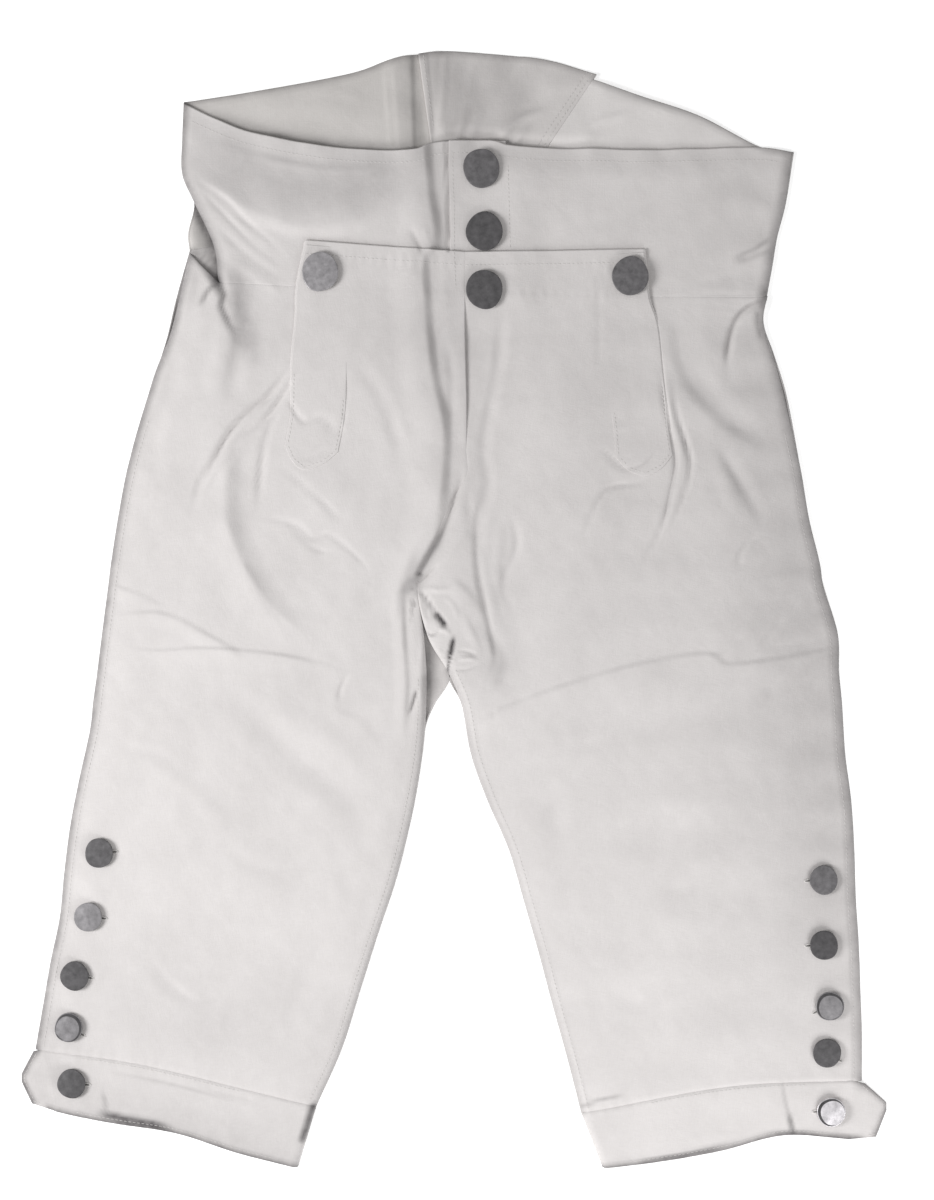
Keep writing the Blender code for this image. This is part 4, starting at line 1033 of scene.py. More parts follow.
def row_places(points):
    """Places down a front leg's line of listed points, closest together by the fork."""
    runs = []
    for number, (a, b) in enumerate(zip(points, points[1:])):
        y = (a[1] + b[1]) / 2
        at_fork = FORK_SPAN[0] < y < FORK_SPAN[1]
        step = FORK_STEP if at_fork else MESH_STEP if y > 0 else LOWER_STEP
        runs.append((number, number + 1, math.hypot(a[0] - b[0], a[1] - b[1]), step))
    return graded(*runs)


def leg_columns(step, slit_step, centre_step):
    """Columns of the side part, of the part from the slit to the inseam, and of the whole leg."""
    near_slit = 0.5
    side = spread(OUTER_ROLL, 1, SIDE_WIDTH, step)
    fall = graded((0, near_slit, FALL_WIDTH * near_slit, slit_step),
                  (near_slit, 1 - INNER_ROLL, FALL_WIDTH * (1 - near_slit), centre_step))
    return (columns(1, side, OUTER_ROLL), columns(1, fall, 0, INNER_ROLL),
            columns(2, np.concatenate([side, 1 + fall[1:]]), OUTER_ROLL, INNER_ROLL))


def front_leg(side):
    """A front leg in one piece with its half of the fall, from three patches joined at the slit.

    Its knee edge and its columns are what the knee band hangs on.
    """
    rows, side_rows, fall_rows = FRONT_ROWS[side], SIDE_ROWS[side], FALL_ROWS[side]
    side_cols, fall_cols, leg_cols = leg_columns(SIDE_STEP, MESH_STEP, CENTRE_STEP)
    skin = Skin()

    outer = [LEG_CORNER[side], *points_of(side_rows[1:], "outer")]
    slit = pulled_in(points_of(side_rows, "slit"), -inwards(side))
    band_corner = FRONT_BANDS[side]["outer"][-1]
    places = spread(0, len(outer) - 1, outer[0][1] - outer[-1][1], MESH_STEP)
    corner_share = abs(band_corner[0] - outer[0][0]) / abs(slit[0][0] - outer[0][0])
    flat = patch(edges_between(outer, slit, (band_corner,)), side_cols.place, places, ("top",),
                 (0, max(corner_share, 0.05), 1))
    beside_slit = skin.add(laid(flat, side_cols, front_level, FACING_UP, (1, 0)))

    slit = pulled_in(points_of(fall_rows, "slit"), inwards(side))
    centre = pulled_in(points_of(fall_rows, "centre"), -inwards(side))
    places = spread(0, len(slit) - 1, slit[0][1] - slit[-1][1], MESH_STEP)
    flat = patch(edges_between(slit, centre), fall_cols.place, places)
    lift = np.interp(places, range(len(fall_rows)), [row.lift for row in fall_rows])[:, None]
    lift = lift * (PLY + overlap_lift(flat[..., 0]))
    grid = laid(flat, fall_cols, front_level, FACING_UP, lift=lift)
    fall = skin.add(grid, ((-1, 0), beside_slit[-1, -1]))

    outer = points_of(rows, "outer")
    inner = pulled_in(points_of(rows, "inner"), -inwards(side))
    places = row_places(inner)
    edges = edges_between(outer, inner, (slit[-1],), (KNEE_BEND[side],))
    flat = patch(edges, leg_cols.place, places, ("top",))
    grid = laid(flat, leg_cols, front_level, FACING_UP, rolls_of(rows, places))
    skin.add(grid, (0, np.concatenate([beside_slit[-1], fall[-1, 1:]])))
    return skin, flat[-1], leg_cols


def back_leg(side):
    rows = BACK_ROWS[side]
    outer = points_of(rows, "outer")
    inner = pulled_in(points_of(rows, "inner"), -inwards(side))
    middle = tuple(np.add(outer[0], inner[0]) / 2)
    cols = leg_columns(BACK_STEP, BACK_STEP, BACK_STEP)[-1]
    places = spread(0, len(outer) - 1, inner[0][1] - inner[-1][1], BACK_STEP)
    flat = patch(edges_between(outer, inner, (middle,), (KNEE_BEND[side],)), cols.place, places)
    return Skin(laid(flat, cols, back_level, FACING_DOWN, rolls_of(rows, places)))


def waistband(edges, level, facing, roll_width, width, step, lift=None):
    last = len(edges["top"]) - 1
    cols = columns(last, spread(roll_width, last, width, step), roll_width)
    flat = patch(edges, cols.place, spread(0, len(edges["outer"]) - 1, BAND_DEPTH, step))
    return Skin(laid(flat, cols, level, facing, (1, 0), lift(flat[..., 0]) if lift else 0))


def gusset():
    """The V let into the back. Its right edge laps over its neighbour and stands up."""
    lap, lap_height, lap_reach = GUSSET_LAP
    outer = [(x - lap, y) for x, y in GUSSET["outer"]]
    edges = edges_between(outer, GUSSET["inner"], GUSSET["top"][1:-1], GUSSET["bottom"][1:-1])
    last = len(edges["top"]) - 1
    cols = columns(last, spread(0, last, GUSSET_WIDTH, BACK_BAND_STEP))
    flat = patch(edges, cols.place, spread(0, len(outer) - 1, GUSSET_DEPTH, BACK_BAND_STEP))
    rise = lap_height * smoothstep(1 - (flat[..., 0] - flat[:, :1, 0]) / lap_reach)
    return Skin(laid(flat, cols, back_level, FACING_DOWN, lift=rise * eased(flat[..., 1], *GUSSET_LAP_END)))


def knee_band(side, leg_hem, leg_cols):
    """One strip: the tab, the front of the band, the turn round the inseam, and the back."""
    seam = leg_hem - (0, SEAM_GAP)
    hem = curve(HEMS[side], leg_cols.place * HEM_POINTS)
    run = (seam[-1] - seam[0]) / np.linalg.norm(seam[-1] - seam[0])
    flat_start = len(ROLL_ANGLES) - 1
    strips = []  # a point on the knee seam, one on the hem, the height, and the way inward

    tab = np.array([TAB_TIPS[side], TAB_ROOTS[side], (seam[flat_start], hem[flat_start])])
    for stretch, steps in enumerate((5, 6)):
        level, next_level = BAND_LEVELS[stretch:stretch + 2]
        for part in np.linspace(0, 1, steps + 1)[:-1]:
            ends = tab[stretch] + part * (tab[stretch + 1] - tab[stretch])
            strips.append((*ends, level + part * (next_level - level), (0, 0, -1)))
    front_start = len(strips)
    there = range(flat_start, len(seam))
    for facing, numbers in ((FACING_UP, there), (FACING_DOWN, there[-2::-1])):
        for number in numbers:
            slant = math.radians(leg_cols.angle[number])
            sideways = math.cos(slant) * leg_cols.inner[number]
            rise = SEAM_LEVEL * (1 - math.sin(slant)) * leg_cols.inner[number]
            strips.append((seam[number], hem[number], slant if facing == FACING_UP else rise,
                           (-run[0] * sideways, -run[1] * sideways, facing * math.sin(slant))))

    uppers, lowers, height, inward = (np.array(column, float) for column in zip(*strips))
    down = np.linspace(0, 1, 20)
    flat = uppers[:, None] + down[None, :, None] * (lowers - uppers)[:, None]
    height = np.repeat(height[:, None], len(down), axis=1)
    front = slice(front_start, front_start + len(there))  # where the height is a slant so far
    level = front_level(flat[front, :, 0], flat[front, :, 1])
    settled = smoothstep(np.abs(flat[front, :, 0] - seam[flat_start, 0]) / BAND_SETTLES)
    level = BAND_LEVELS[-1] + settled * (level - BAND_LEVELS[-1])
    height[front] = SEAM_LEVEL + (level - SEAM_LEVEL) * np.sin(height[front])
    return Skin(Grid(np.dstack([flat, height[..., None]]), np.repeat(inward[:, None], len(down), axis=1)))


class Surface:
    """The top of some skins, read from above. Over the gap of a seam it is read from the cloth beside."""

    def __init__(self, skins, over=0.0):
        self.trees = [BVHTree.FromPolygons(skin.points.tolist(), skin.quads.tolist()) for skin in skins]
        self.over = over  # how far above them the surface lies

    def height(self, x, y):
        for aside in (0, SEAM_GAP, -SEAM_GAP, 3 * SEAM_GAP, -3 * SEAM_GAP):
            start = Vector((x + aside, y, 100))
            hits = [tree.ray_cast(start, Vector((0, 0, -1)))[0] for tree in self.trees]
            heights = [hit.z for hit in hits if hit]
            if heights:
                return max(heights) + self.over
        return self.over

    def heights(self, flat):
        found = [self.height(x, y) for x, y in flat.reshape(-1, 2)]
        return np.array(found).reshape(flat.shape[:-1])


def fall_placket(side, surface):
    """The strap that stays a slit, pressed close to the fall that it is sewn on."""
    edges = FALL_PLACKETS[side]
    last = len(edges["top"]) - 1
    place = spread(0, last, PLACKET_WIDTH, MESH_STEP)
    places = spread(0, len(edges["outer"]) - 1, PLACKET_DEPTH, MESH_STEP)
    flat = patch(edges, place, places, ("top",))
    rows_out = eased(places, PLACKET_SHOWS[side], 0.8)[:, None]
    from_slit = (1 - eased(place, 0.8, 2.4))[None, :]
    edge_only = 1.3 * from_slit - PLACKET_SINKS
    stand = STRAP_PRESS + STRAP * (rows_out + (1 - rows_out) * edge_only)
    points = np.dstack([flat, surface.heights(flat) + stand])
    return Skin(Grid(points, np.broadcast_to((0.0, 0.0, -1.0), points.shape)))


# ---- Thread, buttonholes and buttons ----


def beside(line, offset):
    """A polyline moved sideways, to its left where the offset is positive."""
    run = np.gradient(line, axis=0)
    run /= lengths_of(run)
    return line + offset * np.column_stack([-run[:, 1], run[:, 0]])


def straight_line(*points):
    """A polyline through the points with straight runs, finely divided."""
    runs = [np.linspace(a, b, 12)[:-1] for a, b in zip(points, points[1:])]
    return np.vstack([*runs, [points[-1]]])


def at_lengths(line, lengths):
    """Points and directions along a polyline, at lengths from its start."""
    run = np.concatenate([[0], np.cumsum(np.linalg.norm(np.diff(line, axis=0), axis=1))])
    spots, ahead, behind = (
        np.column_stack([np.interp(lengths + step, run, axis) for axis in line.T]) for step in (0, 0.5, -0.5))
    return spots, (ahead - behind) / lengths_of(ahead - behind)


def ring_faces(rings, sides):
    """Faces between rings of points that follow one another."""
    faces = []
    for low in range(0, (rings - 1) * sides, sides):
        for side in range(sides):
            following = (side + 1) % sides
            high = low + sides
            faces.append((low + side, low + following, high + following, high + side))
    return faces


def tube(path, radii, sides):
    """Points and faces of a closed tube with a round section along a path."""
    path = np.asarray(path, float)
    run = np.gradient(path, axis=0)
    run /= lengths_of(run)
    across = np.cross(run, (0, 0, 1))
    across /= lengths_of(across)
    upright = np.cross(across, run)
    turn = np.linspace(0, 2 * math.pi, sides, endpoint=False)[None, :, None]
    ring = across[:, None] * np.cos(turn) + upright[:, None] * np.sin(turn)
    points = (path[:, None] + ring * np.asarray(radii)[:, None, None]).reshape(-1, 3)
    count = len(points)
    ends = [tuple(range(sides))[::-1], tuple(range(count - sides, count))]
    return points, ring_faces(len(path), sides) + ends


def joined(parts):
    points, faces, count = [], [], 0
    for some_points, some_faces in parts:
        points.append(some_points)
        faces += [tuple(corner + count for corner in face) for face in some_faces]
        count += len(some_points)
    return np.vstack(points), faces


# Along a stitch, in its lengths from the middle: how high over the cloth, and how thick
STITCH_PATH = ((-0.5, STITCH_DIP), (-0.3, STITCH_CROWN), (0.3, STITCH_CROWN), (0.5, STITCH_DIP))
STITCH_RADII = (THREAD * 0.6, THREAD, THREAD, THREAD * 0.6)


def stitches(name, lines, surface, finish):
    """Running thread along flat lines. Each stitch dips into the cloth at both ends."""
    parts = []
    for line in lines:
        length = np.linalg.norm(np.diff(line, axis=0), axis=1).sum()
        middles = np.arange(STITCH_STEP / 2, length - STITCH_STEP / 2, STITCH_STEP)
        for (x, y), (way_x, way_y) in zip(*at_lengths(line, middles)):
            path = []
            for part, rise in STITCH_PATH:
                at_x, at_y = x + way_x * part * STITCH, y + way_y * part * STITCH
                path.append((at_x, at_y, surface.height(at_x, at_y) + rise))
            parts.append(tube(path, STITCH_RADII, 5))
    return add_mesh(name, *joined(parts), finish)


def directions(angle):
    """The way at an angle in degrees, and the way across it."""
    turn = math.radians(angle)
    way = np.array([math.cos(turn), math.sin(turn)])
    return way, np.array([-way[1], way[0]])


def buttonhole(spot, angle, length, surface):
    """A worked hole: a closed loop of close thread round a slit, at an angle in degrees."""
    way, across = directions(angle)
    loop_steps = 44
    half_width, squareness = 0.95, 1.6
    thick, thin, lie = 0.42, 0.3, 0.18
    path, radii = [], []
    for step in range(loop_steps + 1):
        around = 2 * math.pi * step / loop_steps
        flat = way * math.cos(around) * length / 2 + across * half_width * np.clip(
            squareness * math.sin(around), -1, 1)
        x, y = spot + flat
        path.append((x, y, surface.height(x, y) + lie))
        radii.append(thick if step % 2 else thin)
    return tube(path, radii, 6)


def slit_opening(spot, angle, length, surface):
    """Painted shade for the dark opening inside a worked hole: a narrow near-black lens just over the cloth.
    """
    way, across = directions(angle)
    over, thickness = 0.12, 0.08
    widest, tip_width, worked_end = 0.42, 0.04, 0.9
    rows = []
    for part in np.linspace(-1, 1, 9):
        half = widest * math.sqrt(max(1 - part**2, 0)) + tip_width
        for side in (-1, 1):
            x, y = spot + way * part * (length / 2 - worked_end) + across * side * half
            rows.append((x, y, surface.height(x, y) + over))
    points = np.array(rows)
    count = len(points)
    faces = []
    for step in range(0, count - 2, 2):
        top = (step, step + 1, step + 3, step + 2)
        faces.append(top)
        faces.append(tuple(corner + count for corner in reversed(top)))
        faces.append((step + 1, step + 1 + count, step + 3 + count, step + 3))
        faces.append((step + 2, step + 2 + count, step + count, step))
    faces.append((0, count, 1 + count, 1))
    faces.append((count - 1, 2 * count - 1, 2 * count - 2, count - 2))
    return np.vstack([points, points - (0, 0, thickness)]), faces


# The two sizes of button: how far the casting is stretched along Y, how long the buttonhole is, and how
# far its middle lies from the button's
ButtonKind = namedtuple("ButtonKind", "diameter stretch hole_length hole_shift")
LARGE = ButtonKind(25.0, 1.045, 22, 0)
SMALL = ButtonKind(19.0, 1.02, 18, 3.4)

# tone is how light the metal is, set button by button to the lightness it shows, so it carries painted light
# and reflection as well as the metal's own shade; lean is how the button tips, and hole_angle the way that
# its buttonhole runs out from under it, in degrees.
ButtonPlace = namedtuple("ButtonPlace", "name kind x y tone roughness lean_x lean_y hole_angle")
BUTTON_PLACES = rows_of(
    ButtonPlace,
    ("front_button_1", LARGE, 18, 290, 0.165, 0.55, 0.05, -0.03, 180),
    ("front_button_2", LARGE, 20, 248.6, 0.115, 0.6, -0.04, 0.05, 180),
    ("front_button_3", LARGE, 20, 210, 0.115, 0.6, 0.02, 0.04, 180),
    ("fall_button_right", LARGE, -88, 222, 0.36, 0.34, -0.10, -0.06, 0),
    ("fall_button_left", LARGE, 116, 219, 0.175, 0.55, 0.06, 0.03, 180),
    ("knee_button_right_1", SMALL, -234, -161, 0.13, 0.6, 0.05, 0.04, 4),
    ("knee_button_right_2", SMALL, -241, -203, 0.25, 0.55, -0.05, -0.04, -6),
    ("knee_button_right_3", SMALL, -250, -242, 0.105, 0.6, 0.04, 0.05, -8),
    ("knee_button_right_4", SMALL, -254, -276, 0.25, 0.55, -0.04, 0.02, -30),
    ("knee_button_right_5", SMALL, -252, -313, 0.10, 0.55, 0.03, 0.05, -5),
    ("knee_button_left_1", SMALL, 244, -179, 0.175, 0.55, 0.04, 0.03, 184),
    ("knee_button_left_2", SMALL, 244, -222, 0.105, 0.6, 0.05, 0.05, 182),
    ("knee_button_left_3", SMALL, 248, -262, 0.27, 0.5, -0.05, -0.02, 205),
    ("knee_button_left_4", SMALL, 246, -293, 0.11, 0.6, 0.04, 0.05, 330),
    ("knee_button_left_5", SMALL, 249, -332, 0.72, 0.3, -0.12, -0.08, 180),
)
FACE_SHIFTS = {  # which way, in degrees, a button's face lies off centre
    "knee_button_right_4": 225, "knee_button_left_3": 300, "knee_button_left_5": 335,
}
FACE_SHIFT = 1.05
RIM = 0.5  # radius of a button's rolled rim
RIM_LEVEL = 2.5
FACE_LEVEL = 2.98
FACE_DOME = 0.35
BUTTON_SIDES = 48


def button(place, surface, finish, dull):
    """A cast button on its shank, with a rolled rim and a slightly worn, low face.

    A button named in FACE_SHIFTS has its face off centre, and the strip from its rim to its face takes a
    near-black finish, painted shade that shows as a crescent where the strip is widest.
    """
    radius = place.kind.diameter / 2
    # The turned outline, as (radius, height): shank and back, the rim, then the face
    turned = [(0.0, 0.3), (2.0, 0.3), (2.0, 1.4), (radius * 0.6, 1.7), (radius - 1.2, 2.0)]
    for degrees in range(-90, 91, 30):
        slant = math.radians(degrees)
        turned.append((radius - RIM + RIM * math.cos(slant), RIM_LEVEL + RIM * math.sin(slant)))
    rim_ring = len(turned) - 1
    for share in (1, 0.9, 0.75, 0.55, 0.35, 0.18, 0.0):
        turned.append(((radius - 3 * RIM) * share, FACE_LEVEL + FACE_DOME * (1 - share**2)))
    face_shift = Vector((0, 0))
    if place.name in FACE_SHIFTS:
        face_shift = Vector(directions(FACE_SHIFTS[place.name])[0]) * FACE_SHIFT
    reach = radius * 0.7
    east, north, west, south = [
        Vector((place.x + dx, place.y + dy, surface.height(place.x + dx, place.y + dy)))
        for dx, dy in ((reach, 0), (0, reach), (-reach, 0), (0, -reach))
    ]
    normal = (east - west).cross(north - south).normalized()
    normal = (normal + Vector((place.lean_x, place.lean_y, 1)).normalized()).normalized()
    level = max((east.z + north.z + west.z + south.z) / 4, surface.height(place.x, place.y))
    centre = Vector((place.x, place.y, level))
    tilt = Vector((0, 0, 1)).rotation_difference(normal)
    dents = RANDOM.normal(0, 1, (3, 2))
    lobes = RANDOM.uniform(0, 2 * math.pi, 3)
    rows = []
    for ring, (r, height) in enumerate(turned):
        shift = face_shift if ring > rim_ring else Vector((0, 0))
        for step in range(BUTTON_SIDES):
            around = 2 * math.pi * step / BUTTON_SIDES
            uneven = 1 + sum(0.011 * math.sin(around * (lobe + 2) + lobes[lobe]) for lobe in range(3))
            x = r * uneven * math.cos(around) / place.kind.stretch + shift.x
            y = r * uneven * math.sin(around) * place.kind.stretch + shift.y
            wear = sum(0.04 * math.sin(x * 0.5 * a + y * 0.5 * b + a * 7) for a, b in dents)
            worn = height + wear if height > RIM_LEVEL + 0.1 else height
            rows.append(tuple(centre + tilt @ Vector((x, y, worn))))
    faces = ring_faces(len(turned), BUTTON_SIDES)
    finishes, crescent = [finish], slice(0)
    # Painted shade: the ring of faces from the rim to an off-centre face takes the near-black finish
    if place.name in FACE_SHIFTS:
        finishes.append(dull)
        crescent = slice(BUTTON_SIDES * rim_ring, BUTTON_SIDES * (rim_ring + 1))
    made = add_mesh(place.name + "_cast", rows, faces, *finishes, second=crescent)
    weld(made)
    return made


def weld(obj):
    """Merge the points that meet on a turned piece's axis."""
    work = bmesh.new()
    work.from_mesh(obj.data)
    bmesh.ops.remove_doubles(work, verts=work.verts, dist=1e-6)
    bmesh.ops.recalc_face_normals(work, faces=work.faces)
    work.to_mesh(obj.data)
    work.free()
    obj.data.shade_smooth()


# ---- Materials ----

PEWTER_TINT = np.array([1.02, 0.985, 1.02])

# Colours of the cloths, the thread and the rest: the darker and the lighter tone of their mottling
OUTSIDE_TONES = ((0.735, 0.706, 0.699), (0.795, 0.765, 0.758))
# The back's lining: the first tones for its right half, then a lighter copy of them for its left half,
# painted light for the half that faces the light more
INSIDE_TONES = ((0.635, 0.61, 0.592), (0.695, 0.668, 0.65))
LIT_INSIDE_TONES = ((0.765, 0.737, 0.727), (0.825, 0.797, 0.787))
# Tones of the gusset, which also colour the back legs' upper faces; there they are in part painted shade,
# darker than the outside cloth where those faces show under the front
GUSSET_TONES = ((0.69, 0.662, 0.652), (0.75, 0.721, 0.711))
SLUB_TONES = ((0.955, 0.953, 0.95), (1, 1, 1))
# Patchiness of the painted shade
PAINTED_SHADE_PATCH_TONES = ((0.78, 0.78, 0.78), (1, 1, 1))
THREAD_TONES = ((0.62, 0.60, 0.585), (0.76, 0.74, 0.725))
# Near-black tones of the thin lens that is painted shade inside each buttonhole
OPENING_SHADE_TONES = ((0.03, 0.028, 0.026), (0.09, 0.085, 0.08))
TABLE_TONES = ((0.90, 0.90, 0.90), (0.93, 0.93, 0.93))
# Colour that the painted shade darkens the cloth towards
PAINTED_SHADE_COLOUR = (0.035, 0.03, 0.034, 1)
RIB_SCALE = 700
FLOOR_GLOW = 0.5
FLOOR_HALF = 2200

# Lights: name, place, aim, size and power; places and sizes in metres
LIGHTS = (
    ("key", (-1.22, -0.24, 0.97), (0.0, -0.02, 0.0), 0.65, 18.6),
    ("foot", (0.50, -0.85, 0.50), (0.14, -0.25, 0.0), 0.5, 4.2),
)
SURROUND_STRENGTH = 0.37


def set_inputs(node, inputs):
    for key, value in inputs.items():
        node.inputs[key.replace("_", " ")].default_value = value


def add_node(tree, kind, links=(), settings=(), **inputs):
    """A node with its settings, its inputs set, and the inputs in links fed by other nodes."""
    made = tree.nodes.new(kind)
    for key, value in dict(settings).items():
        setattr(made, key, value)
    set_inputs(made, inputs)
    for key, source in dict(links).items():
        tree.links.new(source, made.inputs[key])
    return made


def new_material(name, **inputs):
    """A material, its nodes, its shader with these inputs, and the place on the object."""
    made = bpy.data.materials.new(name)
    made.use_nodes = True
    tree = made.node_tree
    shader = tree.nodes["Principled BSDF"]
    set_inputs(shader, inputs)
    return made, tree, shader, add_node(tree, "ShaderNodeTexCoord").outputs["Object"]


def noise(tree, place, dimensions="3D", **inputs):
    settings = {"noise_dimensions": dimensions}
    return add_node(tree, "ShaderNodeTexNoise", {"Vector": place}, settings, **inputs).outputs["Fac"]


def toned(tree, value, tones, low=0.3, high=0.7):
    """A colour between two tones as a value goes from low to high."""
    ramp = add_node(tree, "ShaderNodeValToRGB", {"Fac": value})
    for element, position, tone in zip(ramp.color_ramp.elements, (low, high), tones):
        element.position = position
        element.color = (*tone, 1)
    return ramp.outputs["Color"]


def mixed(tree, blend, links, **inputs):
    settings = {"data_type": "RGBA", "blend_type": blend}
    return add_node(tree, "ShaderNodeMix", links, settings, **inputs).outputs["Result"]


def bumped(tree, height, distance, strength, before=None):
    links = {"Height": height, "Normal": before} if before else {"Height": height}
    return add_node(tree, "ShaderNodeBump", links, Distance=distance, Strength=strength).outputs["Normal"]


def stretched_noise(tree, cut, scale):
    mapping = add_node(tree, "ShaderNodeMapping", {"Vector": cut}, Scale=scale)
    return noise(tree, mapping.outputs["Vector"], Scale=1, Detail=3, Roughness=0.55)


def with_painted_shade(tree, colour, place):
    """Darkened by the mesh's painted shade value, unevenly, towards a near-black colour."""
    attribute = add_node(tree, "ShaderNodeAttribute", settings={"attribute_name": "soil"})
    patchy = toned(tree, noise(tree, place, Scale=170, Detail=3, Roughness=0.6), PAINTED_SHADE_PATCH_TONES)
    factors = {0: attribute.outputs["Fac"], 1: patchy}
    amount = add_node(tree, "ShaderNodeMath", factors, {"operation": "MULTIPLY"})
    return mixed(tree, "MIX", {"Factor": amount.outputs["Value"], "A": colour}, B=PAINTED_SHADE_COLOUR)


def cotton(name, tones):
    """White cotton drill: a fine diagonal rib, slubs along the thread, soft mottling and crumple, darkened by
    painted shade.
    """
    made, tree, shader, place = new_material(
        name, Roughness=0.86, Specular_IOR_Level=0.25, Sheen_Weight=0.12, Sheen_Roughness=0.5)
    cut = add_node(tree, "ShaderNodeUVMap", settings={"uv_map": "cut"}).outputs["UV"]
    colour = toned(tree, noise(tree, place, Scale=26, Detail=4, Roughness=0.6), tones)
    crumple = noise(tree, place, Scale=75, Detail=5, Roughness=0.62, Distortion=0.5)
    normal = bumped(tree, crumple, 0.0007, 0.5)
    for scale in ((1400, 130, 1), (150, 1500, 1)):
        slubs = stretched_noise(tree, cut, scale)
        tone = toned(tree, slubs, SLUB_TONES, 0.25, 0.75)
        colour = mixed(tree, "MULTIPLY", {"A": colour, "B": tone}, Factor=1.0)
        normal = bumped(tree, slubs, 0.00016, 0.5, normal)
    rib = add_node(tree, "ShaderNodeTexWave", {"Vector": cut}, {"bands_direction": "DIAGONAL"},
                   Scale=RIB_SCALE, Distortion=1.2, Detail=1.0)
    normal = bumped(tree, rib.outputs["Fac"], 0.00012, 0.35, normal)
    # The colour is darkened by the painted shade on the mesh
    tree.links.new(with_painted_shade(tree, colour, place), shader.inputs["Base Color"])
    tree.links.new(normal, shader.inputs["Normal"])
    return made


def mottled(name, tones, scale, detail, bump=None, **inputs):
    """A plain material, mottled by one noise, which can also raise a bump of (distance, strength)."""
    made, tree, shader, place = new_material(name, **inputs)
    grain = noise(tree, place, Scale=scale, Detail=detail)
    tree.links.new(toned(tree, grain, tones), shader.inputs["Base Color"])
    if bump:
        tree.links.new(bumped(tree, grain, *bump), shader.inputs["Normal"])
    return made


def pewter(name, tone, roughness, seed):
    """Cast pewter: grey, blotched by handling, with fine pits and scratches."""
    made, tree, shader, place = new_material(
        name, Metallic=0.3, Roughness=roughness, Specular_IOR_Level=0.3)
    blotch = noise(tree, place, "4D", Scale=240, Detail=5, Roughness=0.65, W=seed)
    pits = noise(tree, place, Scale=1500, Detail=4, Roughness=0.7)
    tones = (PEWTER_TINT * tone * 0.72, np.minimum(PEWTER_TINT * tone * 1.3, 1))
    tree.links.new(toned(tree, blotch, tones, 0.32, 0.68), shader.inputs["Base Color"])
    normal = bumped(tree, pits, 0.00012, 0.4, bumped(tree, blotch, 0.0004, 0.35))
    tree.links.new(normal, shader.inputs["Normal"])
    return made


# ---- Putting it together ----

# Each piece's cut: width and length of the cloth it takes, and its own flat area, in metres
Cut = namedtuple("Cut", "width length area rests_on")
GRAIN = {"right": -9, "left": 9}  # degrees that each leg's warp leans from the middle
BAND_LIFTS = {"right": None, "left": overlap_lift}  # the left front waistband laps over the right


def build_cloth(outside, inside, lit_inside, let_in):
    """Every cloth piece, with the skins that thread, straps and buttons lie on."""
    # Painted shade for the front pieces and for the back ones
    front_painted_shades = (*PAINTED_OUTLINE_SHADE, *FRONT_PAINTED_SHADE)
    back_painted_shades = (*PAINTED_OUTLINE_SHADE, *BACK_PAINTED_SHADE)
    pieces, skins = {}, {}

    def sew(name, skin, finishes, soils, *grain_and_thickness):
        skins[name] = skin
        pieces[name] = wall("cloth_" + name, skin, finishes, soils, *grain_and_thickness)

    for side in SIDES:
        grain = GRAIN[side]
        # The left half of the lining takes the lighter copy, painted light
        lining = inside if side == "right" else lit_inside
        # A back leg's upper, inside face takes the gusset's darker finish: in part painted shade where it
        # shows under the front at the fork and the open side
        sew(f"back_leg_{side}", back_leg(side), (outside, let_in), back_painted_shades, grain)
        band = waistband(BACK_BANDS[side], back_level, FACING_DOWN, BACK_BAND_ROLL, BACK_BAND_WIDTH,
                         BACK_BAND_STEP)
        sew(f"back_waistband_{side}", band, (lining,), back_painted_shades)
        band = waistband(FRONT_BANDS[side], front_level, FACING_UP, FRONT_BAND_ROLL, FRONT_BAND_WIDTH,
                         MESH_STEP, BAND_LIFTS[side])
        sew(f"front_waistband_{side}", band, (outside,), front_painted_shades)
        leg, *knee_edge = front_leg(side)
        sew(f"front_leg_{side}", leg, (outside,), front_painted_shades, grain)
        sew(f"knee_band_{side}", knee_band(side, *knee_edge), (outside,), front_painted_shades, grain + 90)
        strap = fall_placket(side, Surface([leg]))
        sew(f"fall_placket_{side}", strap, (outside,), front_painted_shades, grain, STRAP)
    sew("back_gusset", gusset(), (let_in,), back_painted_shades)
    return pieces, skins


def seam_lines(side):
    """Lines of topstitching on the front pieces of one side, by piece."""
    below = -inwards(side)  # sign of an offset to below a line that runs towards the centre
    rows, fall, placket, band = (table[side] for table in (FRONT_ROWS, FALL_ROWS, FALL_PLACKETS, FRONT_BANDS))
    fall_top = straight_line(points_of(fall[:1], "slit")[0], points_of(fall[:1], "centre")[0])
    knee, hem = knee_line(side), HEMS[side]
    (tip_top, tip_bottom), (root_top, root_bottom) = TAB_TIPS[side], TAB_ROOTS[side]
    tab = straight_line(hem[0], root_bottom, tip_bottom, tip_top, root_top, knee[0])
    waist = [beside(drawn(band["top"]), below * WAIST_HEM)[3:-2]]
    if side == "left":
        waist += [beside(drawn(band["inner"]), LAP_EDGE)[2:], straight_line((37, 238), (35.6, 294))]
    return {
        f"front_waistband_{side}": waist,
        f"front_leg_{side}": [
            beside(fall_top, below * FALL_HEM), beside(drawn(inseam_line(side)), below * FELLED),
            beside(drawn(points_of(rows, "outer")), -below * FELLED)],
        f"fall_placket_{side}": [
            beside(drawn(placket["outer"]), -below * STRAP_EDGE)[22:],
            beside(drawn(placket["inner"]), below * STRAP_EDGE)[26:],
            beside(straight_line(*placket["bottom"]), -below * STRAP_EDGE)[1:-1]],
        f"knee_band_{side}": [
            beside(drawn(knee), below * KNEE_SEAM_EDGE)[3:-3],
            beside(drawn(hem), -below * KNEE_HEM_EDGE)[3:-3], beside(tab, below * TAB_EDGE)[6:-6]],
    }


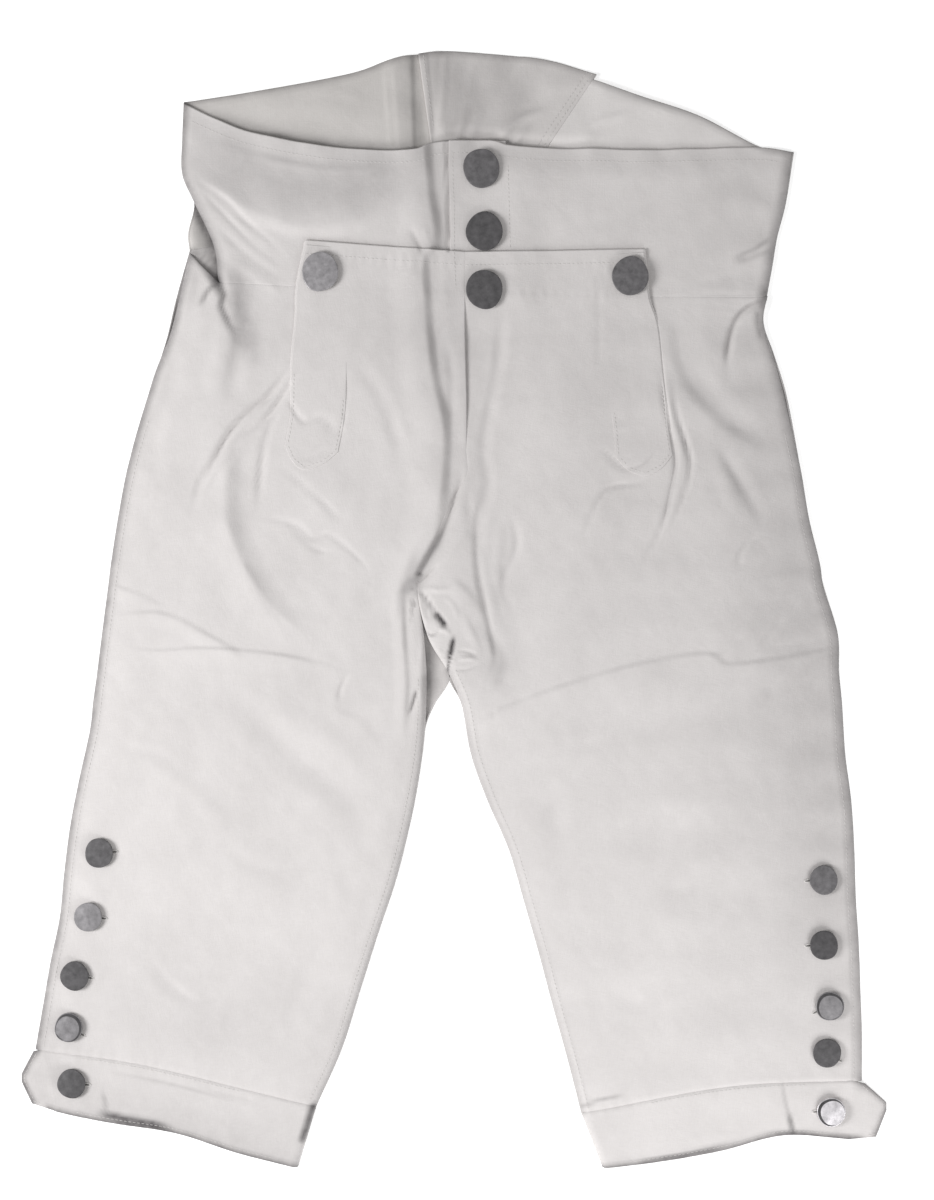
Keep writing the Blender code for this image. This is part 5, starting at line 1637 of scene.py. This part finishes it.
def build_thread(skins, finish):
    """Topstitching as real thread, one joined piece for each piece of cloth that carries it."""
    surface = Surface([skin for name, skin in skins.items() if not name.startswith("back")])
    made = {}
    for side in SIDES:
        for owner, lines in seam_lines(side).items():
            made[owner] = stitches(f"stitching_{owner}", lines, surface, finish)
    gusset_lines = [beside(drawn(GUSSET["inner"]), offset)[:9] for offset in GUSSET_ROWS]
    gusset_lines.append(beside(drawn(GUSSET["outer"]), GUSSET_EDGE)[:8])
    inside = Surface([skins["back_gusset"]], CLOTH)  # its inner face is the upper one
    made["back_gusset"] = stitches("stitching_back_gusset", gusset_lines, inside, finish)
    return made, surface


def declare(piece, replaced=None):
    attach(piece, "root")
    if replaced:
        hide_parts(replaced)


def declare_cloth(pieces, thread):
    for name, piece in pieces.items():
        declare(piece, name)
        if name in thread:
            declare(thread[name])


def build_buttons(surface, thread, opening):
    # A near-black pewter, painted shade for the crescent beside an off-centre face
    dull = pewter("pewter_dull", 0.07, 0.6, 40.0)
    holes = {"front": [], "knee_right": [], "knee_left": []}
    openings = {group: [] for group in holes}
    for number, place in enumerate(BUTTON_PLACES):
        metal = pewter(f"pewter_{place.name}", place.tone, place.roughness, number * 1.7)
        declare(button(place, surface, metal, dull), place.name)
        group = "front" if place.kind == LARGE else place.name.replace("_button", "")[:-2]
        spot = np.array([place.x, place.y]) + place.kind.hole_shift * directions(place.hole_angle)[0]
        hole = (spot, place.hole_angle, place.kind.hole_length, surface)
        holes[group].append(buttonhole(*hole))
        openings[group].append(slit_opening(*hole))
    for group, parts in holes.items():
        worked = add_mesh(f"buttonholes_{group}", *joined(parts), thread)
        dark = add_mesh(f"buttonhole_openings_{group}", *joined(openings[group]), opening)
        declare(worked)
        declare(dark)


def build_floor():
    """A plain white table, lit a little from within so that it stays pale to the frame's edge."""
    finish = mottled("white_table", TABLE_TONES, 8, 2, Emission_Color=(1, 1, 1, 1),
                     Emission_Strength=FLOOR_GLOW, Roughness=0.9, Specular_IOR_Level=0.0)
    corners = [(x * FLOOR_HALF, y * FLOOR_HALF, 0) for x, y in ((-1, -1), (1, -1), (1, 1), (-1, 1))]
    add_mesh("white_table", corners, [(0, 1, 2, 3)], finish)


def add_camera():
    data = bpy.data.cameras.new("camera")
    data.sensor_width = SENSOR
    data.lens = SENSOR / 2 * CAMERA_HEIGHT / (VIEW_HEIGHT / 2)
    data.clip_end = 20
    made = bpy.data.objects.new("camera", data)
    made.location = (VIEW_CENTRE[0] * MM, VIEW_CENTRE[1] * MM, (CAMERA_HEIGHT + FRONT_LEVEL) * MM)
    bpy.context.scene.collection.objects.link(made)
    bpy.context.scene.camera = made


def add_light(name, location, target, size, power):
    data = bpy.data.lights.new(name, "AREA")
    data.shape = "SQUARE"
    data.size = size
    data.energy = power
    made = bpy.data.objects.new(name, data)
    made.location = location
    made.rotation_mode = "QUATERNION"
    made.rotation_quaternion = (Vector(target) - Vector(location)).to_track_quat("-Z", "Y")
    bpy.context.scene.collection.objects.link(made)


def light_scene():
    """Soft light from the viewer's left, a little from the foot, and an even pale surround."""
    for name, *how in LIGHTS:
        add_light(name, *how)
    world = bpy.data.worlds.new("studio")
    world.use_nodes = True
    surround = world.node_tree.nodes["Background"]
    set_inputs(surround, {"Color": (1.0, 1.0, 1.0, 1), "Strength": SURROUND_STRENGTH})
    bpy.context.scene.world = world
    bpy.context.scene.view_settings.view_transform = "Standard"


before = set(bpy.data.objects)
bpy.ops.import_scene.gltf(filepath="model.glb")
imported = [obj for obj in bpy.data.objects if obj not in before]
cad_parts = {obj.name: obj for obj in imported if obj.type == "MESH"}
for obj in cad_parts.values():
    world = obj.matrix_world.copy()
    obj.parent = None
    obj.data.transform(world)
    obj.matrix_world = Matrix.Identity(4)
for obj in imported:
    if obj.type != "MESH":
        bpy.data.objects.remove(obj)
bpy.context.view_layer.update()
add_camera()
light_scene()
build_floor()
outside_cotton = cotton("cotton_drill", OUTSIDE_TONES)
inside_cotton = cotton("cotton_drill_inside", INSIDE_TONES)
linen = mottled("linen_thread", THREAD_TONES, 1600, 2, (0.0001, 0.4), Roughness=0.8)
gusset_cotton = cotton("cotton_drill_gusset", GUSSET_TONES)
# A lighter copy of the inside cloth, painted light for the back's left half
lit_inside_cotton = cotton("cotton_drill_inside_left", LIT_INSIDE_TONES)
cloth, cloth_skins = build_cloth(outside_cotton, inside_cotton, lit_inside_cotton, gusset_cotton)
threads, top_surface = build_thread(cloth_skins, linen)
declare_cloth(cloth, threads)
# Near-black finish of the lenses that are painted shade inside the buttonholes
shadow = mottled("buttonhole_opening", OPENING_SHADE_TONES, 1100, 3, Roughness=0.95)
build_buttons(top_surface, linen, shadow)
